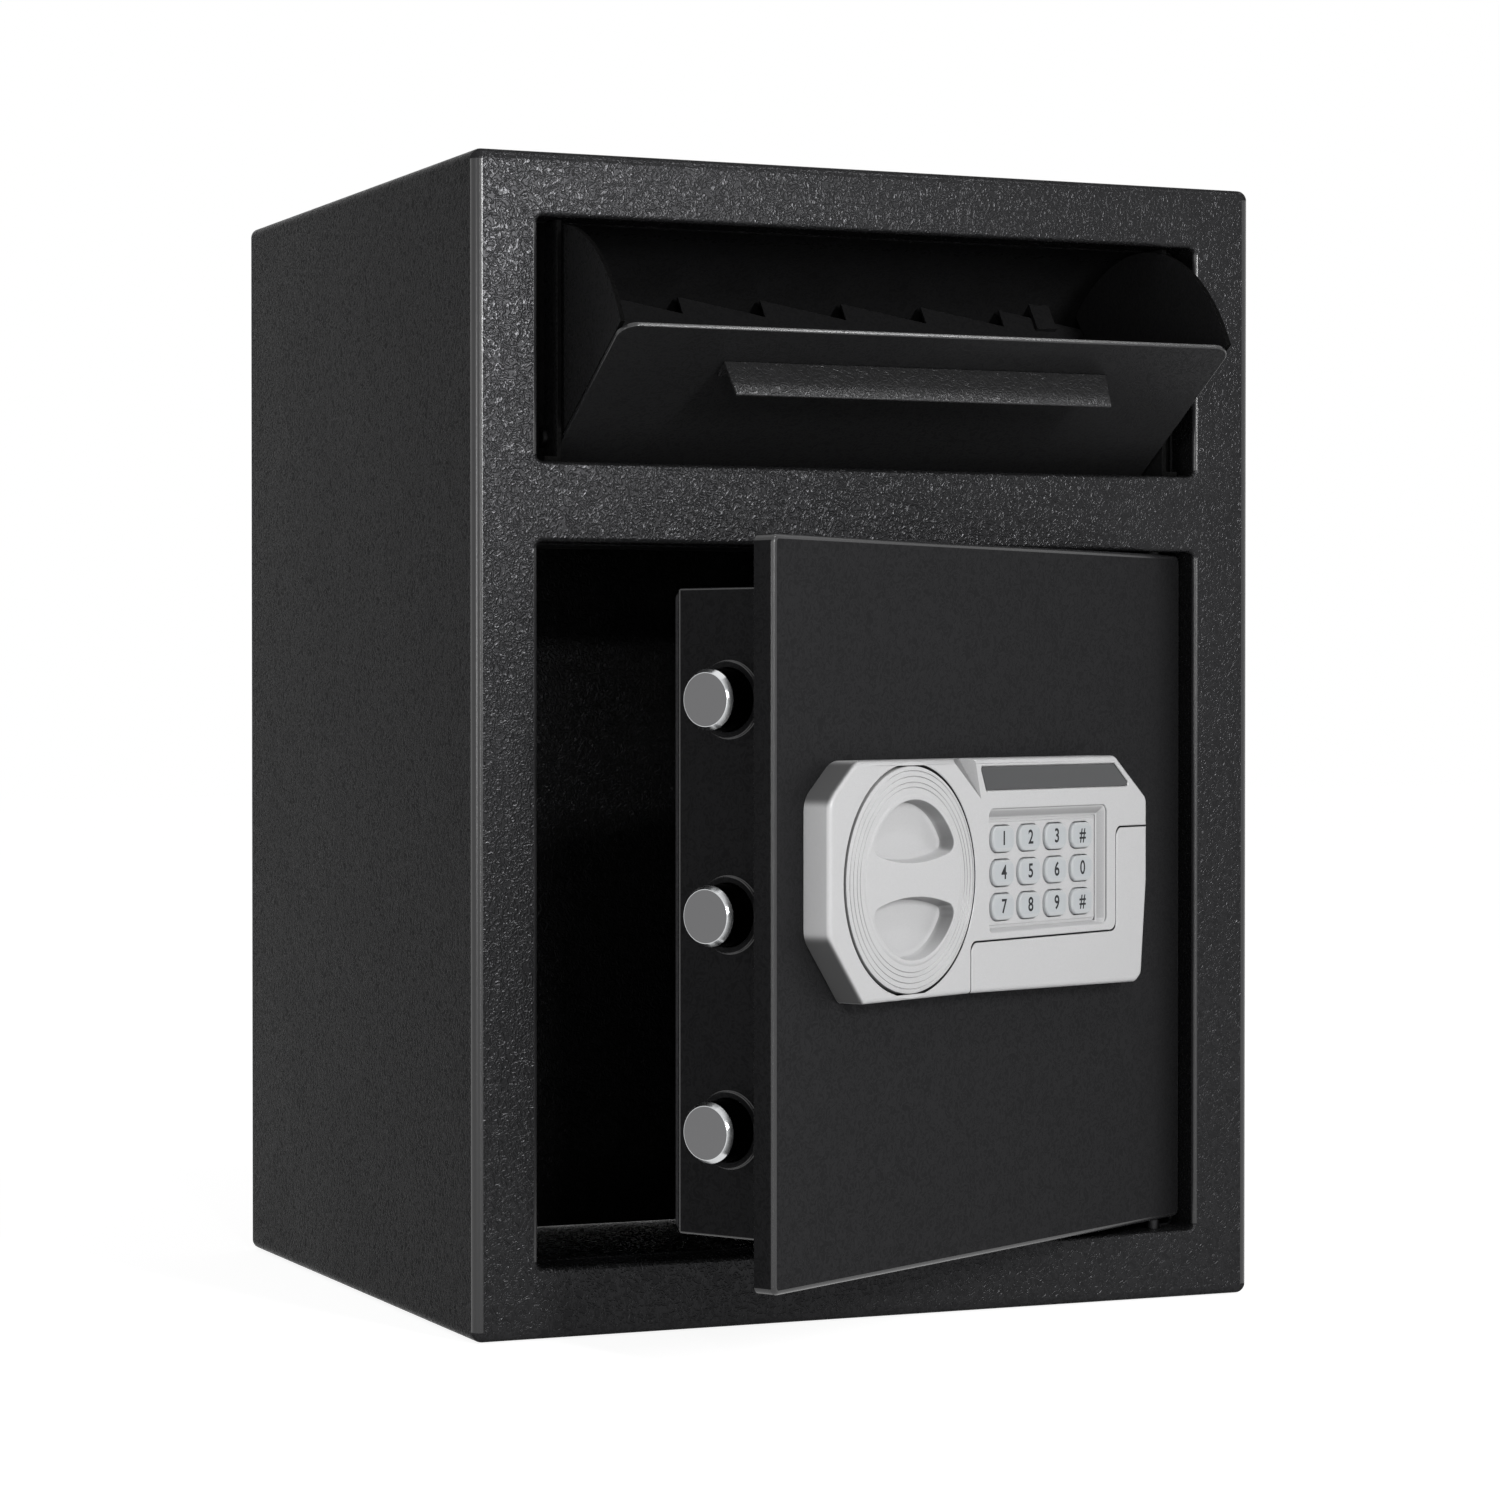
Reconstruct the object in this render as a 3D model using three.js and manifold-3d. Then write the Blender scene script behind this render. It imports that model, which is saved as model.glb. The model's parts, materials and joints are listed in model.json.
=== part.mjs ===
// A counter-top deposit safe in millimetres: a tilt-out hopper over a lock door.
// The origin is the middle of the floor; X runs to the right, Y to the back and Z up, and the front faces -Y.
// The door stands 30 degrees open and the hopper is tilted out, as on a shop counter.
import * as THREE from 'three';
import { mergeVertices } from 'three/addons/utils/BufferGeometryUtils.js';
import Module from 'manifold-3d';

// Cabinet
const cabinetWidth = 372;
const cabinetDepth = 325;
const cabinetHeight = 500;
const bodySheet = 3;
const cabinetCorner = 4.5;
const edgeRadius = 4;
const frameWallDepth = 10;
const seatGap = 0.3;

// Openings in the front frame
const sideBand = 28.55;
const topBand = 27.4;
const bottomBand = 30.3;
const middleRail = 34;
const hopperOpeningHeight = 102.6;
const openingCorner = 5;
const rimRadius = 2;
const flangeDepth = 22;

// Anchor holes
const anchorHoleRadius = 5;
const anchorInset = 60;
const backAnchorHeight = 400;

// Door
const doorGapSide = 1.5;
const doorGapTop = 1;
const doorGapBottom = 4.7;
const doorRecess = 6;
const doorThickness = 10;
const doorSheet = 2;
const doorCorner = 3.6;
const doorEdgeRadius = 2;
const hingeFromEdge = 12;
const hingeFromFace = 7;
const doorOpenAngle = 30;

// Hinge pins and their blocks
const hingePinRadius = 3;
const hingePinReach = 17;
const hingeHeadRadius = 5.5;
const hingeHeadThickness = 2;
const hingeBlockHeight = 24;
const hingeBlockBack = 8;
const turningClearance = 0.3;

// Pan behind the door plate
const panInsetSide = 20;
const panInsetTop = 20.2;
const panInsetBottom = 18;
const panDepthFromFace = 63.5;
const panSheet = 1.5;
const panLip = 12;
const coverSheet = 1.5;
const coverMargin = 6;
const screwRadius = 2;
const screwHeadRadius = 4;
const screwHeadHeight = 1.8;
const screwLength = 7;

// Lock bolts
const boltRadius = 12.5;
const boltDepthFromFace = 37;
const boltPitchShare = 0.283;
const boltInsideEdge = 4.3;
const boltLength = 41;
const boltChamfer = 2.5;
const boltTravel = 20;
const boltClearance = 0.5;
const collarWidth = 2.6;
const collarHeight = 1.2;

// Knob, crank and carriage
const knobAcross = 76.5;
const knobHeight = 196.5;
const knobRadius = 46.3;
const knobGap = 0.6;
const knobProud = 1.6;
const knobFloorGap = 1;
const scoopRadius = 32.5;
const scoopDepth = 7;
const gripEndHeight = 24;
const gripWaistHeight = 14;
const knobRingStep = 0.7;
const knobFaceRim = 1;
const knobGrooveWidth = 3;
const knobOuterRing = 3.5;
const knobEdgeSoftness = 1;
const spindleRadius = 5;
const spindleClearance = 1;
const crankHubRadius = 9;
const crankThickness = 4;
const crankPinRadius = 3;
const crankDepthFromFace = 16;
const crankPinArm = boltTravel / 2 / Math.sin(Math.PI / 4);
const slotClearance = 0.75;
const carriageSheet = 3;
const carriageGap = 2;

// Solenoid
const plungerRadius = 3;
const plungerTravel = 3.5;
const notchDepth = 4.5;
const notchWidth = 8;
const solenoidWidth = 20;
const solenoidHeight = 24;
const solenoidFloor = 2;
const plungerCollar = 1.2;
const plungerCollarReach = 2;
const plungerTipClearance = 1.5;
const raisedCollarGap = 0.5;
const springTurns = 4;
const springWire = 0.5;
const springHeight = 7;

// Lock fascia: across, from the left of the lock's layout, whose middle sits on the middle of the door
const lockMiddle = 155.95;
const fasciaLeft = 19.6;
const fasciaRight = 261.3;
const fasciaTop = 245.2;
const fasciaBottom = 146.5;
const fasciaThickness = 13;
const fasciaBevel = 1.6;
const fasciaWall = 2.2;
const seam = 0.4;
const keypadLeft = 134.2;
const keypadRight = 227;
const keypadBottom = 172.5;
const keypadTop = 223.8;
const keypadSlope = 3.6;
const keypadDepth = 3.6;
const keypadPlateThickness = 2;
const keypadCorner = 2.5;
const pocketMarginAcross = 2.7;
const pocketMarginBelow = 1.2;
const pocketMarginAbove = 1.7;
const fasciaCornerSoftness = 2.4;
const fasciaCorners = [
  [43.1, fasciaBottom], [252.5, fasciaBottom], [256.8, 149], [fasciaRight, 190],
  [fasciaRight, 226.5], [235, fasciaTop], [38.2, fasciaTop], [fasciaLeft, 230.2], [fasciaLeft, 174.6],
];

// Display window, a slanted four-sided shape
const displayBottom = 231.7;
const displayTop = 241.9;
const displayTopLeft = 127.7;
const displayBottomLeft = 132.2;
const displayBottomRight = 247.3;
const displayTopRight = 233.5;
const displayDepth = 1.6;
const displaySink = 0.2;

// Keys
const keyColumns = 4;
const keyRows = 3;
const keyPitchAcross = 20.7;
const keyPitchUp = 14.3;
const keyWidth = 17.2;
const keyHeight = 11;
const keyCorner = 4.6;
const keyProud = 1.9;
const keyGap = 0.35;
const keyFlange = 0.9;
const keyFlangeThickness = 1.2;
const keyBevel = 0.8;
const keyTravel = 1.2;
const boardThickness = 1.6;

// Battery bay and cover
const coverLeft = 120.5;
const coverSeamTop = 169;
const coverLegLeft = 235;
const coverLegTop = 214;
const coverSeamCorner = 4;
const batteryRadius = 7;
const batteryLength = 50;
const batteryButtonRadius = 2.6;
const batteryButtonHeight = 1.5;
const batteryGap = 0.4;
const holderWall = 1.2;
const holderLeft = 124.5;
const cylinderRadius = 8;
const cylinderLength = 30;
const cylinderFromLeg = 12;
const cylinderBelowLegTop = 22;
const keywayWidth = 1.6;
const keywayHeight = 8;
const keywayEnd = 6;

// Hopper
const hopperPivotDepth = 22;
const hopperPivotRise = 11;
const hopperSideRoom = 14.45;
const hopperReach = 91;
const hopperPanelForward = 8;
const hopperSheet = 2;
const hopperTopGap = 0.8;
const hopperHem = 6.5;
const hopperCornerCut = 8;
const hopperOpenAngle = 58;
const floorSlope = 5;
const floorDrop = 6;
const floorSheet = 1.5;
const toothCount = 7;
const toothHeight = 10;
const handleHalfWidth = 90;
const handleRise = 69.5;
const handleReach = 17;
const handleSheet = 1.5;
const handleFlange = 9;
const hopperPinRadius = 4;
const hopperPinHeadRadius = 5.4;
const hopperPinHeadThickness = 2;
const hopperPinEnd = 2;

// Fixed parts round the hopper
const sidePlateGap = 1.5;
const sidePlateSheet = 2;
const sidePlateFront = 6;
const sidePlateBack = 62;
const hoodGap = 2.5;
const hoodSheet = 2;
const hoodLowAngle = 30;
const stopTabWidth = 10;
const stopTabInset = 20;
const stopTabReach = 12;
const shelfSheet = 2;
const shelfDrop = 18;
const shelfBack = 125;
const shelfLip = 14;

// Places worked out from the sizes above
const frontY = -cabinetDepth / 2;
const backY = cabinetDepth / 2;
const halfWidth = cabinetWidth / 2;
const openingHalf = halfWidth - sideBand;
const lowerBottom = bottomBand;
const upperTop = cabinetHeight - topBand;
const upperBottom = upperTop - hopperOpeningHeight;
const lowerTop = upperBottom - middleRail;
const wrapFront = frontY + frameWallDepth + seatGap;
const hingeX = openingHalf - doorGapSide - hingeFromEdge;
const hingeY = frontY + doorRecess + hingeFromFace;

const wasm = await Module();
wasm.setup();

// Solids from closed geometries, and back again
function toSolid(geometry) {
  const bare = geometry.clone();
  bare.deleteAttribute('normal');
  bare.deleteAttribute('uv');
  const merged = mergeVertices(bare, 1e-4);
  const vertProperties = new Float32Array(merged.attributes.position.array);
  const triVerts = new Uint32Array(merged.index.array);
  return new wasm.Manifold(new wasm.Mesh({ numProp: 3, vertProperties, triVerts }));
}

function toGeometry(solid) {
  const mesh = solid.getMesh();
  const geometry = new THREE.BufferGeometry();
  geometry.setAttribute('position', new THREE.BufferAttribute(new Float32Array(mesh.vertProperties), 3));
  geometry.setIndex(new THREE.BufferAttribute(new Uint32Array(mesh.triVerts), 1));
  return geometry;
}

// Prisms of a flat shape: along Y the shape lies in X and Z, along X in Y and Z, along Z in X and Y
const layFlat = {
  y: new THREE.Matrix4().makeBasis(
    new THREE.Vector3(1, 0, 0), new THREE.Vector3(0, 0, 1), new THREE.Vector3(0, -1, 0)),
  x: new THREE.Matrix4().makeBasis(
    new THREE.Vector3(0, 1, 0), new THREE.Vector3(0, 0, 1), new THREE.Vector3(1, 0, 0)),
  z: new THREE.Matrix4(),
};

function prism(shape, axis, from, to, curveSegments = 6) {
  const depth = to - from;
  const geometry = new THREE.ExtrudeGeometry(shape, { depth, bevelEnabled: false, curveSegments });
  geometry.applyMatrix4(layFlat[axis]);
  const start = axis === 'y' ? to : from;
  const shift = { x: [start, 0, 0], y: [0, start, 0], z: [0, 0, start] }[axis];
  geometry.translate(...shift);
  return toSolid(geometry);
}

// A slab along Y with rounded front edges and a flat back
function bevelledSlab(shape, front, back, bevel, bevelSegments = 3, curveSegments = 4) {
  const geometry = new THREE.ExtrudeGeometry(shape, {
    depth: back - front,
    bevelEnabled: true,
    bevelThickness: bevel,
    bevelSize: bevel,
    bevelOffset: -bevel,
    bevelSegments,
    curveSegments,
  });
  geometry.applyMatrix4(layFlat.y);
  geometry.translate(0, back + bevel, 0);
  const reach = 1000;
  const behind = prism(rectangle(-reach, -reach, reach, reach), 'y', back, back + reach);
  return toSolid(geometry).subtract(behind);
}

function rectangle(left, bottom, right, top) {
  const shape = new THREE.Shape();
  shape.moveTo(left, bottom);
  shape.lineTo(right, bottom);
  shape.lineTo(right, top);
  shape.lineTo(left, top);
  shape.closePath();
  return shape;
}

function roundedRectangle(left, bottom, right, top, radius) {
  const shape = new THREE.Shape();
  shape.absarc(right - radius, top - radius, radius, 0, Math.PI / 2);
  shape.absarc(left + radius, top - radius, radius, Math.PI / 2, Math.PI);
  shape.absarc(left + radius, bottom + radius, radius, Math.PI, 1.5 * Math.PI);
  shape.absarc(right - radius, bottom + radius, radius, 1.5 * Math.PI, 2 * Math.PI);
  shape.closePath();
  return shape;
}

// A polygon with each corner rounded by a quadratic curve that starts a given way from it
function softPolygon(corners, radius) {
  const shape = new THREE.Shape();
  corners.forEach((corner, index) => {
    const here = new THREE.Vector2(...corner);
    const before = new THREE.Vector2(...corners.at(index - 1));
    const after = new THREE.Vector2(...corners[(index + 1) % corners.length]);
    const start = here.clone().add(before.sub(here).setLength(radius));
    const end = here.clone().add(after.sub(here).setLength(radius));
    if (index === 0) {
      shape.moveTo(start.x, start.y);
    } else {
      shape.lineTo(start.x, start.y);
    }
    shape.quadraticCurveTo(here.x, here.y, end.x, end.y);
  });
  shape.closePath();
  return shape;
}

function circle(x, y, radius) {
  const shape = new THREE.Shape();
  shape.absarc(x, y, radius, 0, 2 * Math.PI);
  return shape;
}

// A turned piece: a profile of [radius, height] points revolved, with its axis laid along x, y or z
function turned(profile, axis, segments) {
  const points = profile.map(([radius, height]) => new THREE.Vector2(radius, height));
  const geometry = new THREE.LatheGeometry(points, segments);
  if (axis === 'x') geometry.rotateZ(-Math.PI / 2);
  if (axis === 'z') geometry.rotateX(Math.PI / 2);
  const solid = toSolid(geometry);
  if (solid.volume() > 0) return solid;
  return toSolid(flipped(geometry));
}

function flipped(geometry) {
  const copy = geometry.clone();
  const index = copy.index.array;
  for (let i = 0; i < index.length; i += 3) {
    [index[i + 1], index[i + 2]] = [index[i + 2], index[i + 1]];
  }
  return copy;
}

// A solid through matching closed rings of points, capped at both ends
function loft(rings) {
  const count = rings[0].length;
  const positions = rings.flat().flatMap((point) => point.toArray());
  const index = [];
  for (let ring = 0; ring + 1 < rings.length; ring += 1) {
    for (let i = 0; i < count; i += 1) {
      const next = (i + 1) % count;
      const a = ring * count + i;
      const b = ring * count + next;
      const c = a + count;
      const d = b + count;
      index.push(a, b, c, b, d, c);
    }
  }
  const middleOf = (ring) => ring
    .reduce((sum, point) => sum.add(point), new THREE.Vector3())
    .divideScalar(count);
  const ends = [[0, rings[0]], [(rings.length - 1) * count, rings.at(-1)]];
  ends.forEach(([first, ring], end) => {
    const middle = positions.length / 3;
    positions.push(...middleOf(ring).toArray());
    for (let i = 0; i < count; i += 1) {
      const next = (i + 1) % count;
      if (end === 0) {
        index.push(middle, first + next, first + i);
      } else {
        index.push(middle, first + i, first + next);
      }
    }
  });
  const geometry = new THREE.BufferGeometry();
  geometry.setAttribute('position', new THREE.Float32BufferAttribute(positions, 3));
  geometry.setIndex(index);
  const solid = toSolid(geometry);
  return solid.volume() > 0 ? solid : toSolid(flipped(geometry));
}

function roundedRing(left, bottom, right, top, radius, y, steps = 4) {
  const centres = [
    [right - radius, top - radius],
    [left + radius, top - radius],
    [left + radius, bottom + radius],
    [right - radius, bottom + radius],
  ];
  return centres.flatMap(([x, z], quarter) => Array.from({ length: steps + 1 }, (_, step) => {
    const angle = (quarter + step / steps) * Math.PI / 2;
    return new THREE.Vector3(x + radius * Math.cos(angle), y, z + radius * Math.sin(angle));
  }));
}

// Rings of a block whose front edge is rounded inwards, or of a cutter that flares outwards there
function roundedFrontRings(left, bottom, right, top, corner, radius, front, back, flare) {
  const steps = 3;
  const sign = flare ? 1 : -1;
  const rings = [];
  const ringAt = (offset, y) => roundedRing(
    left - offset, bottom - offset, right + offset, top + offset, corner + offset, y);
  if (flare) rings.push(ringAt(radius, front - 1));
  for (let step = 0; step <= steps; step += 1) {
    const angle = step / steps * Math.PI / 2;
    rings.push(ringAt(sign * radius * (1 - Math.sin(angle)), front + radius * (1 - Math.cos(angle))));
  }
  rings.push(ringAt(0, back));
  return rings;
}

const safe = new THREE.Group();
const door = new THREE.Group();
const hopper = new THREE.Group();
safe.add(door, hopper);

const finishes = {
  powder: { color: 0x17181a, roughness: 0.55, metalness: 0.2 },
  powderSmooth: { color: 0x141517, roughness: 0.42, metalness: 0.2 },
  chrome: { color: 0xd6d8da, roughness: 0.14, metalness: 1 },
  zinc: { color: 0x9a9d9f, roughness: 0.4, metalness: 0.9 },
  silver: { color: 0xb9babb, roughness: 0.42, metalness: 0.3 },
  display: { color: 0x26282b, roughness: 0.12, metalness: 0 },
  key: { color: 0xc3c7cb, roughness: 0.45, metalness: 0 },
  board: { color: 0x1f5a38, roughness: 0.5, metalness: 0 },
  blackPlastic: { color: 0x1a1a1b, roughness: 0.5, metalness: 0 },
  battery: { color: 0x2f5d8a, roughness: 0.35, metalness: 0.2 },
  brass: { color: 0xb08d4a, roughness: 0.3, metalness: 1 },
};

function addPiece(group, name, solid, finish) {
  const material = new THREE.MeshStandardMaterial({ name: finish, ...finishes[finish] });
  const mesh = new THREE.Mesh(toGeometry(solid), material);
  mesh.name = name;
  group.add(mesh);
}

// Cabinet: front frame, wrap, back panel, shelf
function frontFrame() {
  const outer = loft(roundedFrontRings(
    -halfWidth, 0, halfWidth, cabinetHeight, cabinetCorner, edgeRadius,
    frontY, frontY + frameWallDepth, false));
  const hollow = prism(
    roundedRectangle(-halfWidth + bodySheet, bodySheet, halfWidth - bodySheet, cabinetHeight - bodySheet,
      cabinetCorner - bodySheet),
    'y', frontY + bodySheet, frontY + frameWallDepth + 1);
  let frame = outer.subtract(hollow);
  const openings = [[lowerBottom, lowerTop], [upperBottom, upperTop]];
  for (const [bottom, top] of openings) {
    frame = frame.add(prism(
      roundedRectangle(-openingHalf - bodySheet, bottom - bodySheet, openingHalf + bodySheet, top + bodySheet,
        openingCorner + bodySheet),
      'y', frontY + bodySheet / 2, frontY + flangeDepth, 4));
  }
  for (const [bottom, top] of openings) {
    frame = frame.subtract(loft(roundedFrontRings(
      -openingHalf, bottom, openingHalf, top, openingCorner, rimRadius,
      frontY, frontY + flangeDepth + 1, true)));
  }
  const pinHoles = prism(
    circle(hingeX, hingeY, hingePinRadius + turningClearance), 'z',
    lowerBottom - bodySheet - 1, lowerTop + bodySheet + 1, 6);
  return frame.subtract(pinHoles);
}

function cabinetWrap() {
  const outline = roundedRectangle(-halfWidth, 0, halfWidth, cabinetHeight, cabinetCorner);
  outline.holes.push(roundedRectangle(
    -halfWidth + bodySheet, bodySheet, halfWidth - bodySheet, cabinetHeight - bodySheet,
    cabinetCorner - bodySheet));
  let wrap = prism(outline, 'y', wrapFront, backY, 4);
  for (const x of [-1, 1]) {
    for (const y of [-1, 1]) {
      wrap = wrap.subtract(prism(
        circle(x * (halfWidth - anchorInset), y * (backY - anchorInset), anchorHoleRadius),
        'z', -1, bodySheet + 1, 8));
    }
  }
  return wrap;
}

function backPanel() {
  const inset = bodySheet + seatGap;
  const shape = roundedRectangle(
    -halfWidth + inset, inset, halfWidth - inset, cabinetHeight - inset, cabinetCorner - bodySheet);
  for (const side of [-1, 1]) {
    shape.holes.push(circle(side * (halfWidth - anchorInset), backAnchorHeight, anchorHoleRadius));
  }
  return prism(shape, 'y', backY - bodySheet, backY, 4);
}

// The shelf closes the bay under the hopper and turns down against both side walls
const shelfTop = upperBottom - shelfDrop;

function depositShelf() {
  const reach = halfWidth - bodySheet - seatGap;
  const back = frontY + shelfBack;
  const plate = prism(
    rectangle(-openingHalf, shelfTop - shelfSheet, openingHalf, shelfTop), 'y',
    frontY + bodySheet + seatGap, back);
  const wide = prism(
    rectangle(-reach, shelfTop - shelfSheet, reach, shelfTop), 'y', frontY + flangeDepth + seatGap, back);
  let shelf = plate.add(wide);
  for (const side of [-1, 1]) {
    const inner = side * (reach - shelfSheet);
    const outer = side * reach;
    shelf = shelf.add(prism(
      rectangle(Math.min(inner, outer), shelfTop - shelfLip, Math.max(inner, outer), shelfTop), 'y',
      frontY + flangeDepth + seatGap, back));
  }
  const lip = prism(
    rectangle(-reach, shelfTop - shelfLip, reach, shelfTop), 'y', back - shelfSheet, back);
  return shelf.add(lip);
}

addPiece(safe, 'cabinet_wrap', cabinetWrap(), 'powder');
addPiece(safe, 'front_frame', frontFrame(), 'powder');
addPiece(safe, 'back_panel', backPanel(), 'powder');
addPiece(safe, 'deposit_shelf', depositShelf(), 'powderSmooth');

// Hopper: drawn closed, with the pivot as its origin, then tilted out
const pivotY = frontY + hopperPivotDepth;
const pivotZ = upperBottom + hopperPivotRise;
const hopperHalfWidth = openingHalf - hopperSideRoom;
const panelTop = upperTop - hopperTopGap - pivotZ;
const panelFront = -hopperPanelForward;
const panelBack = panelFront + hopperSheet;
const cheekOuter = hopperHalfWidth;
const cheekInner = hopperHalfWidth - hopperSheet;
const cheekRadius = Math.min(hopperReach, panelTop);
const slope = THREE.MathUtils.degToRad(floorSlope);
hopper.position.set(0, pivotY, pivotZ);
hopper.rotation.x = THREE.MathUtils.degToRad(hopperOpenAngle);

function hopperPanel() {
  const shape = new THREE.Shape();
  shape.moveTo(-hopperHalfWidth, -hopperHem);
  shape.lineTo(hopperHalfWidth, -hopperHem);
  shape.lineTo(hopperHalfWidth, panelTop - hopperCornerCut);
  shape.quadraticCurveTo(
    hopperHalfWidth, panelTop - hopperCornerCut / 3, hopperHalfWidth - hopperCornerCut, panelTop);
  shape.lineTo(-hopperHalfWidth + hopperCornerCut, panelTop);
  shape.quadraticCurveTo(
    -hopperHalfWidth, panelTop - hopperCornerCut / 3, -hopperHalfWidth, panelTop - hopperCornerCut);
  shape.closePath();
  return prism(shape, 'y', panelFront, panelBack, 5);
}

function hopperCheek(side) {
  const shape = new THREE.Shape();
  const front = panelBack + seatGap;
  const hem = -hopperHem;
  const tail = floorSheet + floorDrop;
  const low = -Math.asin(Math.sin(slope) + tail / cheekRadius);
  shape.moveTo(front, hem);
  shape.lineTo(front + hopperPanelForward, hem);
  shape.lineTo(cheekRadius * Math.cos(low), cheekRadius * Math.sin(low));
  shape.absarc(0, 0, cheekRadius, low, Math.acos(front / cheekRadius));
  shape.closePath();
  const bore = circle(0, 0, hopperPinRadius + turningClearance);
  shape.holes.push(bore);
  const near = side > 0 ? cheekInner : -cheekOuter;
  return prism(shape, 'x', near, near + hopperSheet, 18);
}

// The floor of the bin runs back from the panel and ends in saw teeth, upright on the left of each
function hopperBackPlate() {
  const reach = cheekInner - seatGap;
  const start = panelBack + seatGap;
  const length = cheekRadius * Math.cos(slope) - start;
  const pitch = 2 * reach / toothCount;
  const shape = new THREE.Shape();
  shape.moveTo(-reach, 0);
  shape.lineTo(reach, 0);
  for (let tooth = toothCount - 1; tooth >= 0; tooth -= 1) {
    const left = -reach + tooth * pitch;
    shape.lineTo(left + pitch, length - toothHeight);
    shape.lineTo(left, length);
  }
  shape.closePath();
  const geometry = new THREE.ExtrudeGeometry(shape, { depth: floorSheet, bevelEnabled: false });
  geometry.rotateX(-slope);
  geometry.translate(0, start, -floorDrop - floorSheet);
  return toSolid(geometry);
}

function hopperHandle() {
  const face = panelFront - seatGap;
  const shape = new THREE.Shape();
  const edge = handleSheet / 2;
  shape.moveTo(face, handleRise);
  shape.lineTo(face - handleReach + edge, handleRise);
  shape.absarc(face - handleReach + edge, handleRise - edge, edge, Math.PI / 2, 1.5 * Math.PI);
  shape.lineTo(face - 2 * handleSheet, handleRise - handleSheet);
  shape.quadraticCurveTo(
    face - handleSheet, handleRise - handleSheet, face - handleSheet, handleRise - 2 * handleSheet);
  shape.lineTo(face - handleSheet, handleRise - handleFlange);
  shape.lineTo(face, handleRise - handleFlange);
  shape.closePath();
  return prism(shape, 'x', -handleHalfWidth, handleHalfWidth, 5);
}

function hopperPin(side) {
  const inner = cheekInner - seatGap;
  const headInner = inner - hopperPinHeadThickness;
  const outer = hopperHalfWidth + sidePlateGap + sidePlateSheet + hopperPinEnd;
  const profile = [
    [0, headInner], [hopperPinHeadRadius, headInner], [hopperPinHeadRadius, inner],
    [hopperPinRadius, inner], [hopperPinRadius, outer], [0, outer],
  ];
  const signed = profile.map(([radius, along]) => [radius, side * along]);
  return turned(signed, 'x', 16);
}

addPiece(hopper, 'hopper_panel', hopperPanel(), 'powderSmooth');
addPiece(hopper, 'hopper_handle', hopperHandle(), 'powder');
addPiece(hopper, 'hopper_back_plate', hopperBackPlate(), 'powderSmooth');
for (const [name, side] of [['left', -1], ['right', 1]]) {
  addPiece(hopper, `hopper_cheek_${name}`, hopperCheek(side), 'powderSmooth');
  addPiece(hopper, `hopper_pin_${name}`, hopperPin(side), 'zinc');
}

// Fixed plates beside the hopper: a foot on the opening's lower flange, a bored wall and a turned-out edge
function hopperSidePlate(side) {
  const inner = hopperHalfWidth + sidePlateGap;
  const front = frontY + sidePlateFront;
  const back = frontY + sidePlateBack;
  const behindFlange = frontY + flangeDepth + seatGap;
  const top = upperTop - seatGap;
  const bottom = upperBottom + seatGap;
  const low = shelfTop + seatGap;
  const radius = cheekRadius + hoodGap - seatGap;
  const topAngle = Math.asin((top - pivotZ) / radius);
  const backAngle = Math.acos((back - pivotY) / radius);
  const shape = new THREE.Shape();
  shape.moveTo(front, bottom);
  shape.lineTo(behindFlange, bottom);
  shape.lineTo(behindFlange, low);
  shape.lineTo(back, low);
  shape.absarc(pivotY, pivotZ, radius, backAngle, topAngle);
  shape.lineTo(front, top);
  shape.closePath();
  const near = side > 0 ? inner : -inner - sidePlateSheet;
  let plate = prism(shape, 'x', near, near + sidePlateSheet, 8);
  const outerEdge = openingHalf - openingCorner - seatGap;
  const foot = [side * (inner + sidePlateSheet / 2), side * outerEdge];
  plate = plate.add(prism(
    rectangle(Math.min(...foot), bottom, Math.max(...foot), bottom + sidePlateSheet), 'y',
    front, behindFlange));
  const wingEdge = halfWidth - bodySheet - seatGap;
  const wing = [side * (inner + sidePlateSheet / 2), side * wingEdge];
  plate = plate.add(prism(
    rectangle(Math.min(...wing), low, Math.max(...wing), top), 'y', behindFlange,
    behindFlange + sidePlateSheet));
  return plate.subtract(prism(
    circle(pivotY, pivotZ, hopperPinRadius + turningClearance), 'x', near - 2, near + sidePlateSheet + 2, 8));
}

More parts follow.
